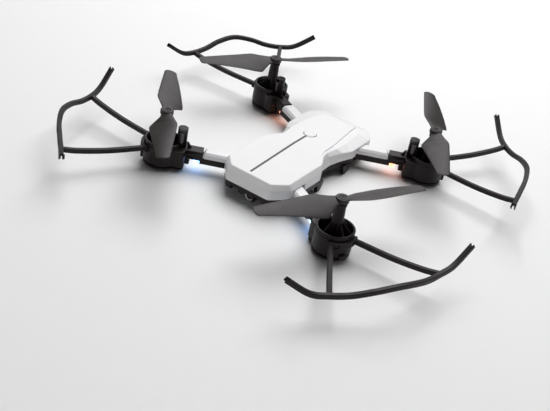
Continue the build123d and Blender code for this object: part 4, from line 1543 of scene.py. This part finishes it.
@dataclass
class Guard:
    """Blade guard: a bowed channel bar on two struts and a yoke that hugs the pod.

    Attributes:
        bow: factors of the bar's distance from the propeller axis, by even powers of the angle.
        heights: the bar's height by angle in degrees, from its middle to its tip.
        join: angle where a strut meets the bar.
        root: where a strut leaves the pod.
        sag: the strut's height by its share of the way.
        width: width of the channels.
        height: their height.
        wall: their thickness.
        fork: length of the slot in each tip.
    """

    bow: tuple[float, ...] = (71.2, -13.5, 62.4, -30.1)
    heights: tuple[Pair, ...] = (
        (0.0, 26.0), (12.0, 23.9), (23.0, 20.6), (33.2, 19.7), (42.0, 21.4), (51.5, 31.2),
    )
    join: float = 33.2
    root: Pair = (10.5, 8.6)
    sag: tuple[Pair, ...] = ((0.0, 14.8), (0.45, 15.2), (0.8, 17.2), (1.0, 19.6))
    width: float = 3.3
    height: float = 3.0
    wall: float = 0.85
    fork: float = 2.6

    def bar_point(self, angle: float, height: float) -> Vector:
        """Point of the bar's middle line."""
        turn = math.radians(angle)
        reach = sum(factor * turn ** (2 * power) for power, factor in enumerate(self.bow))
        return Vector((reach * math.cos(turn), reach * math.sin(turn), height))

    def build(self) -> bpy.types.Mesh:
        """Makes the guard's mesh about the propeller axis."""
        half = [self.bar_point(angle, height) for angle, height in self.heights]
        path = spline([Vector((p.x, -p.y, p.z)) for p in reversed(half[1:])] + half, 7)
        section = channel(self.width, self.height, self.wall)
        guard = linked("guard", make_mesh("guard", [swept(path, section)]))
        end = self.bar_point(self.join, 0.0)
        struts = []
        for side in (-1, 1):
            start = Vector((self.root[0], self.root[1], 0.0))
            known = [start.lerp(end, share) + Vector((0, 0, z)) for share, z in self.sag]
            line = spline([(p.x, side * p.y, p.z) for p in known], 6)
            struts.append(swept(line, section))
        arc = [
            (14.05 * math.cos(math.radians(turn)), 14.05 * math.sin(math.radians(turn)), 14.7)
            for turn in range(-50, 51, 5)
        ]
        band = rounded([(-1.15, -2.1, 0.5), (1.15, -2.1, 0.5), (1.15, 2.1, 0.5), (-1.15, 2.1, 0.5)], 3)
        carve(guard, [*struts, swept([Vector(point) for point in arc], band)], join=True)
        cuts = [turned([(13.03, 5.0), (13.03, 30.0)], 72)]
        for turn in (-24.0, 24.0):
            radial = Matrix.Rotation(math.radians(turn), 4, "Z") @ aimed((0, 0, 14.7), (1, 0, 0))
            cuts.append(rod(1.82, 14.0, 18.0, radial, 28))
            cuts.append(rod(0.95, 12.0, 15.0, radial, 20))
        for tip, before in ((path[0], path[1]), (path[-1], path[-2])):
            slot = block((-self.fork, 0.85 - self.width / 2, -3.0), (1.0, self.width / 2 - 0.85, 3.0))
            ahead = (tip - before).normalized()
            side = Vector((0, 0, 1)).cross(ahead).normalized()
            up = ahead.cross(side)
            turn = Matrix((ahead, side, up)).transposed().to_4x4()
            cuts.append(slot.moved(Matrix.Translation(tip) @ turn))
        carve(guard, cuts)
        soften(guard, 0.14, 45.0, 1)
        mesh = guard.data
        bpy.data.objects.remove(guard)
        return mesh


@dataclass
class Propeller:
    """Two-blade paddle propeller, cambered and twisted, on a stepped hub.

    Attributes:
        radius: from the axis to a tip.
        thickness: of the blade near its root.
        camber: the section's rise as a share of its width.
        stations: radius, leading half width, trailing half width, pitch in degrees and height.
        hub: radius and height round the hub's section.
    """

    radius: float = 62.0
    thickness: float = 1.3
    camber: float = 0.045
    stations: tuple[tuple[float, ...], ...] = (
        (3.2, 3.6, 4.0, 14.0, 40.7), (6.5, 4.3, 5.0, 16.0, 40.5), (13.2, 6.5, 10.6, 20.5, 39.9),
        (15.2, 7.2, 11.5, 20.3, 39.9), (18.5, 7.8, 11.4, 19.2, 40.0), (23.0, 7.6, 10.7, 17.4, 40.1),
        (31.0, 6.9, 9.4, 14.0, 40.4), (44.0, 5.7, 7.3, 10.5, 40.8), (56.0, 4.6, 5.2, 8.5, 40.9),
        (60.0, 4.2, 4.7, 8.0, 40.9), (61.4, 3.4, 3.8, 8.0, 40.9), (62.0, 2.0, 2.3, 8.0, 40.9),
    )
    hub: tuple[Pair, ...] = (
        (1.02, 38.9), (4.1, 38.9), (4.6, 39.4), (4.6, 41.9), (4.2, 42.35), (3.1, 42.45), (2.9, 42.75),
        (2.1, 42.75), (1.8, 42.5), (1.8, 41.25), (1.02, 41.25),
    )

    def blade(self, spin: int) -> Form:
        """One blade, outwards along x.

        Args:
            spin: 1 where it turns anticlockwise seen from above, or -1.

        Returns:
            The form.
        """
        rings = []
        for r, lead, trail, pitch, height in spline(self.stations, 5):
            tilt = math.radians(pitch)
            thick = self.thickness * (1.15 - 0.5 * r / self.radius)
            ring = []
            for step in range(20):
                around = 2 * math.pi * step / 20
                share = (1 - math.cos(around)) / 2
                skin = math.copysign(abs(math.sin(around)) ** 0.7, math.sin(around)) * (1.1 - 0.45 * share)
                along = lead - (lead + trail) * share
                bow = self.camber * (lead + trail) * (0.6 - (2 * share - 1) ** 2)
                rise = bow + skin * thick / 2
                y = along * math.cos(tilt) - rise * math.sin(tilt)
                ring.append((r, spin * y, height + along * math.sin(tilt) + rise * math.cos(tilt)))
            rings.append(ring)
        return Form().stack(rings)

    def build(self, spin: int) -> bpy.types.Mesh:
        """Makes the propeller's mesh with its blades along x."""
        prop = linked("prop", make_mesh("prop", [turned(self.hub, 48, closed=True)]))
        for turn in (0.0, math.pi):
            carve(prop, [self.blade(spin).moved(Matrix.Rotation(turn, 4, "Z"))], join=True)
        mesh = prop.data
        bpy.data.objects.remove(prop)
        return mesh


@dataclass
class LampLens:
    """Rounded lamp under the neck, beside the pod.

    Attributes:
        near: its end beside the pod, from the propeller axis.
        far: its other end.
        half: half its width.
        low: height of its foot.
        high: height of its seat.
    """

    near: float = -22.2
    far: float = -26.8
    half: float = 2.3
    low: float = 5.4
    high: float = 9.75

    def build(self) -> bpy.types.Mesh:
        """Makes the lens's mesh about the propeller axis."""
        plan = rounded(
            [(self.far, -self.half, 1.2), (self.near, -self.half, 1.2), (self.near, self.half, 1.2),
             (self.far, self.half, 1.2)], 6,
        )
        rise = [(self.low, 1.1), (self.low + 0.25, 0.5), (self.low + 0.9, 0.08), (self.high - 0.6, 0.0)]
        return make_mesh("lens", [prism(plan, [*rise, (self.high, 0.0)])])


@dataclass
class Screws:
    """Cross-headed screws, all made from one pattern.

    Attributes:
        radius: of the head.
        height: of the head.
        shank: radius of the thread.
    """

    radius: float = 1.68
    height: float = 0.7
    shank: float = 0.88

    def pattern(self, length: float) -> list[Form]:
        """One screw, its head upwards from the origin and its shank below."""
        head = turned(
            [(self.shank, -length), (self.shank, 0.0), (self.radius, 0.0), (self.radius, self.height * 0.6),
             (self.radius * 0.8, self.height * 0.95), (self.radius * 0.62, self.height)], 28,
        )
        piece = linked("head", make_mesh("head", [head]))
        low = self.height * 0.35
        arms = [
            block((-1.05, -0.22, low), (1.05, 0.22, 2.0)),
            block((-0.22, -1.05, low), (0.22, 1.05, 2.0)),
        ]
        carve(piece, arms)
        form = Form()
        form.points = [vertex.co / MM for vertex in piece.data.vertices]
        form.faces = [tuple(face.vertices) for face in piece.data.polygons]
        bpy.data.objects.remove(piece)
        return [form]

    def on_arm(self, scatter: Scatter) -> bpy.types.Mesh:
        """The arm's four screws, about the propeller axis."""
        spots = [aimed((-13.3, v, 2.6), (0, 0, -1)) for v in (-6.6, 6.6)]
        for turn in (-24.0, 24.0):
            spots.append(Matrix.Rotation(math.radians(turn), 4, "Z") @ aimed((14.02, 0, 14.7), (1, 0, 0)))
        piece = scatter.run("arm_screw_set", self.pattern(2.3), spots, SCREW_BLACK.build())
        mesh = piece.data
        bpy.data.objects.remove(piece)
        return mesh

    def on_body(self, arms: Sequence[ArmFrame], scatter: Scatter) -> bpy.types.Object:
        """The four long screws up through the fold pivots."""
        low, high = (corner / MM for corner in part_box("body_screws"))
        spots = [aimed((arm.pivot.x, arm.pivot.y, low.z + self.height + 0.3), (0, 0, -1)) for arm in arms]
        length = high.z - low.z - self.height - 0.3
        piece = scatter.run("body_screw_set", self.pattern(length), spots, SCREW_BLACK.build())
        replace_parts(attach(piece, "root"), "body_screws")
        return piece


@dataclass
class ArmSet:
    """The four arms, each with everything that rides on it.

    Attributes:
        scatter: the tree that makes what repeats.
    """

    scatter: Scatter

    def kept(self, node: str, finish: bpy.types.Material) -> None:
        """Gives a carried-over CAD node its material."""
        slots = frame["nodes"][node].data.materials
        slots.clear()
        slots.append(finish)

    def add(
        self, mesh: bpy.types.Mesh, node: str, name: str, place: Matrix, body: str, slot: str,
        finish: bpy.types.Material, crease: float = 40.0,
    ) -> None:
        """Stands a copy of a template on an arm in place of a CAD node."""
        piece = stamped(mesh, name, place)
        weighted(dressed(piece, finish, crease))
        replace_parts(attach(piece, body), node)
        LOG.info("%s: %d faces", name, len(piece.data.polygons))

    def build(self, arms: Sequence[ArmFrame]) -> None:
        """Makes every arm's pieces."""
        pod = Pod(length=arms[0].length).build(self.scatter)
        cap, guard, lens = ArmCover(arms[0].length).build(), Guard().build(), LampLens().build()
        screws = Screws().on_arm(self.scatter)
        props = {spin: Propeller().build(spin) for spin in (-1, 1)}
        black, white, nylon = BLACK_ABS.build(), WHITE_ABS.build(), GUARD_NYLON.build()
        blades, steel = PROP_NYLON.build(), SCREW_BLACK.build()
        lamps = {lamp.name: lamp.build() for lamp in (LAMP_BLUE, LAMP_RED)}
        metals = {
            "motor": MOTOR_CAN.build(), "prop_shaft": SHAFT_STEEL.build(), "shaft_bushes": BUSH_BRONZE.build(),
            "main_gear": GEAR_NYLON.build(), "pinion": PINION_BRASS.build(), "prop_screw": steel,
            "gear_cover": black,
        }
        for arm in arms:
            corner, place = arm.corner.value, arm.place
            body, rotor, lamp = f"arm_{corner}", f"rotor_{corner}", arm.corner.lamp.name
            turn = math.radians(arm.corner.blade_heading)
            spun = Matrix.Translation(arm.hub) @ Matrix.Rotation(turn, 4, "Z")
            self.add(pod, f"arm_{corner}", f"pod_{corner}", place, body, "black_plastic", black, 36.0)
            self.add(cap, f"arm_cover_{corner}", f"cap_{corner}", place, body, "shell_white", white, 36.0)
            self.add(guard, f"guard_{corner}", f"guard_bar_{corner}", place, body, "guard_black", nylon, 36.0)
            self.add(lens, f"lamp_lens_{corner}", f"lamp_{corner}", place, body, lamp, lamps[lamp], 50.0)
            self.add(screws, f"arm_screws_{corner}", f"arm_fixings_{corner}", place, body, "screw_steel", steel)
            self.add(
                props[arm.corner.spin], f"propeller_{corner}", f"blades_{corner}", spun, rotor, "prop_grey", blades
            )
            for kind, finish in metals.items():
                self.kept(f"{kind}_{corner}", finish)


# ---------------------------------------------------------------- studio


@dataclass
class Studio:
    """Camera, soft lights and a plain pale floor.

    Attributes:
        eye: the camera's place, in millimetres.
        aim: the point it looks at.
        roll: its turn about its own line of sight, in degrees.
        lens: its focal length for a 36 mm wide sensor.
        floor_size: length of the floor's sides, in metres.
    """

    eye: Triple = (288.8, -563.2, 370.7)
    aim: Triple = (30.3, -76.8, 20.0)
    roll: float = 11.469
    lens: float = 66.74
    floor_size: float = 14.0

    def camera(self) -> None:
        """Stands the camera and makes it the scene's own."""
        eye, aim = Vector(self.eye) * MM, Vector(self.aim) * MM
        ahead = (aim - eye).normalized()
        level = ahead.cross(Vector((0, 0, 1))).normalized()
        rise = level.cross(ahead)
        turn = math.radians(self.roll)
        right = level * math.cos(turn) + rise * math.sin(turn)
        up = rise * math.cos(turn) - level * math.sin(turn)
        data = bpy.data.cameras.new("camera")
        data.sensor_width = 36.0
        data.lens = self.lens
        data.clip_start = 0.01
        data.clip_end = 50.0
        data.dof.use_dof = False
        camera = bpy.data.objects.new("camera", data)
        bpy.context.scene.collection.objects.link(camera)
        turned_to = Matrix((right, up, -ahead)).transposed()
        camera.matrix_world = Matrix.Translation(eye) @ turned_to.to_4x4()
        bpy.context.scene.camera = camera

    def softbox(self, name: str, place: Triple, aim: Triple, size: float, power: float) -> None:
        """Adds a square soft light, its places in metres."""
        data = bpy.data.lights.new(name, "AREA")
        data.shape = "SQUARE"
        data.size = size
        data.energy = power
        light = bpy.data.objects.new(name, data)
        bpy.context.scene.collection.objects.link(light)
        facing = Vector(aim) - Vector(place)
        light.matrix_world = Matrix.Translation(place) @ facing.to_track_quat("-Z", "Y").to_matrix().to_4x4()

    def lights(self) -> None:
        """Lights the craft softly from above and behind, and lightly from the front and all round."""
        self.softbox("top", (-0.10, 0.50, 1.20), (0.0, 0.0, 0.0), 1.2, 19.0)
        self.softbox("front", (0.35, -0.95, 0.22), (0.0, 0.0, 0.0), 0.5, 1.0)
        self.softbox("back", (-0.60, 1.05, 0.70), (0.0, 0.0, 0.0), 0.9, 4.0)
        world = bpy.data.worlds.new("room")
        world.use_nodes = True
        world.node_tree.nodes["Background"].inputs["Color"].default_value = (1.0, 1.0, 1.0, 1.0)
        world.node_tree.nodes["Background"].inputs["Strength"].default_value = 0.09
        bpy.context.scene.world = world
        bpy.context.scene.view_settings.view_transform = "Standard"

    def floor(self) -> None:
        """Lays the floor a hair below the craft's feet."""
        half = self.floor_size / 2 / MM
        form = block((-half, -half, -2.0), (half, half, -0.02))
        floor = linked("floor", make_mesh("floor", [form]))
        dressed(floor, FLOOR_PAINT.build())

    def build(self) -> None:
        """Makes the whole studio."""
        self.camera()
        self.lights()
        self.floor()


def main() -> None:
    """Builds every sub-assembly in order, then the studio."""
    logging.basicConfig(level=logging.INFO, format="%(name)s: %(message)s")
    arms = [ArmFrame.of(corner) for corner in Corner]
    scatter = Scatter()
    pieces = [TopShell().build(arms), PowerButton().build(), Belly().build(arms, scatter)]
    pieces += CameraEye().build()
    innards = Innards()
    pieces += [innards.battery(), innards.chips(scatter), Screws().on_body(arms, scatter)]
    for piece in pieces:
        LOG.info("%s: %d faces", piece.name, len(piece.data.polygons))
    arm_set = ArmSet(scatter)
    arm_set.kept("circuit_board", BOARD_GREEN.build())
    arm_set.build(arms)
    Studio().build()


if __name__ == "__main__":
    main()
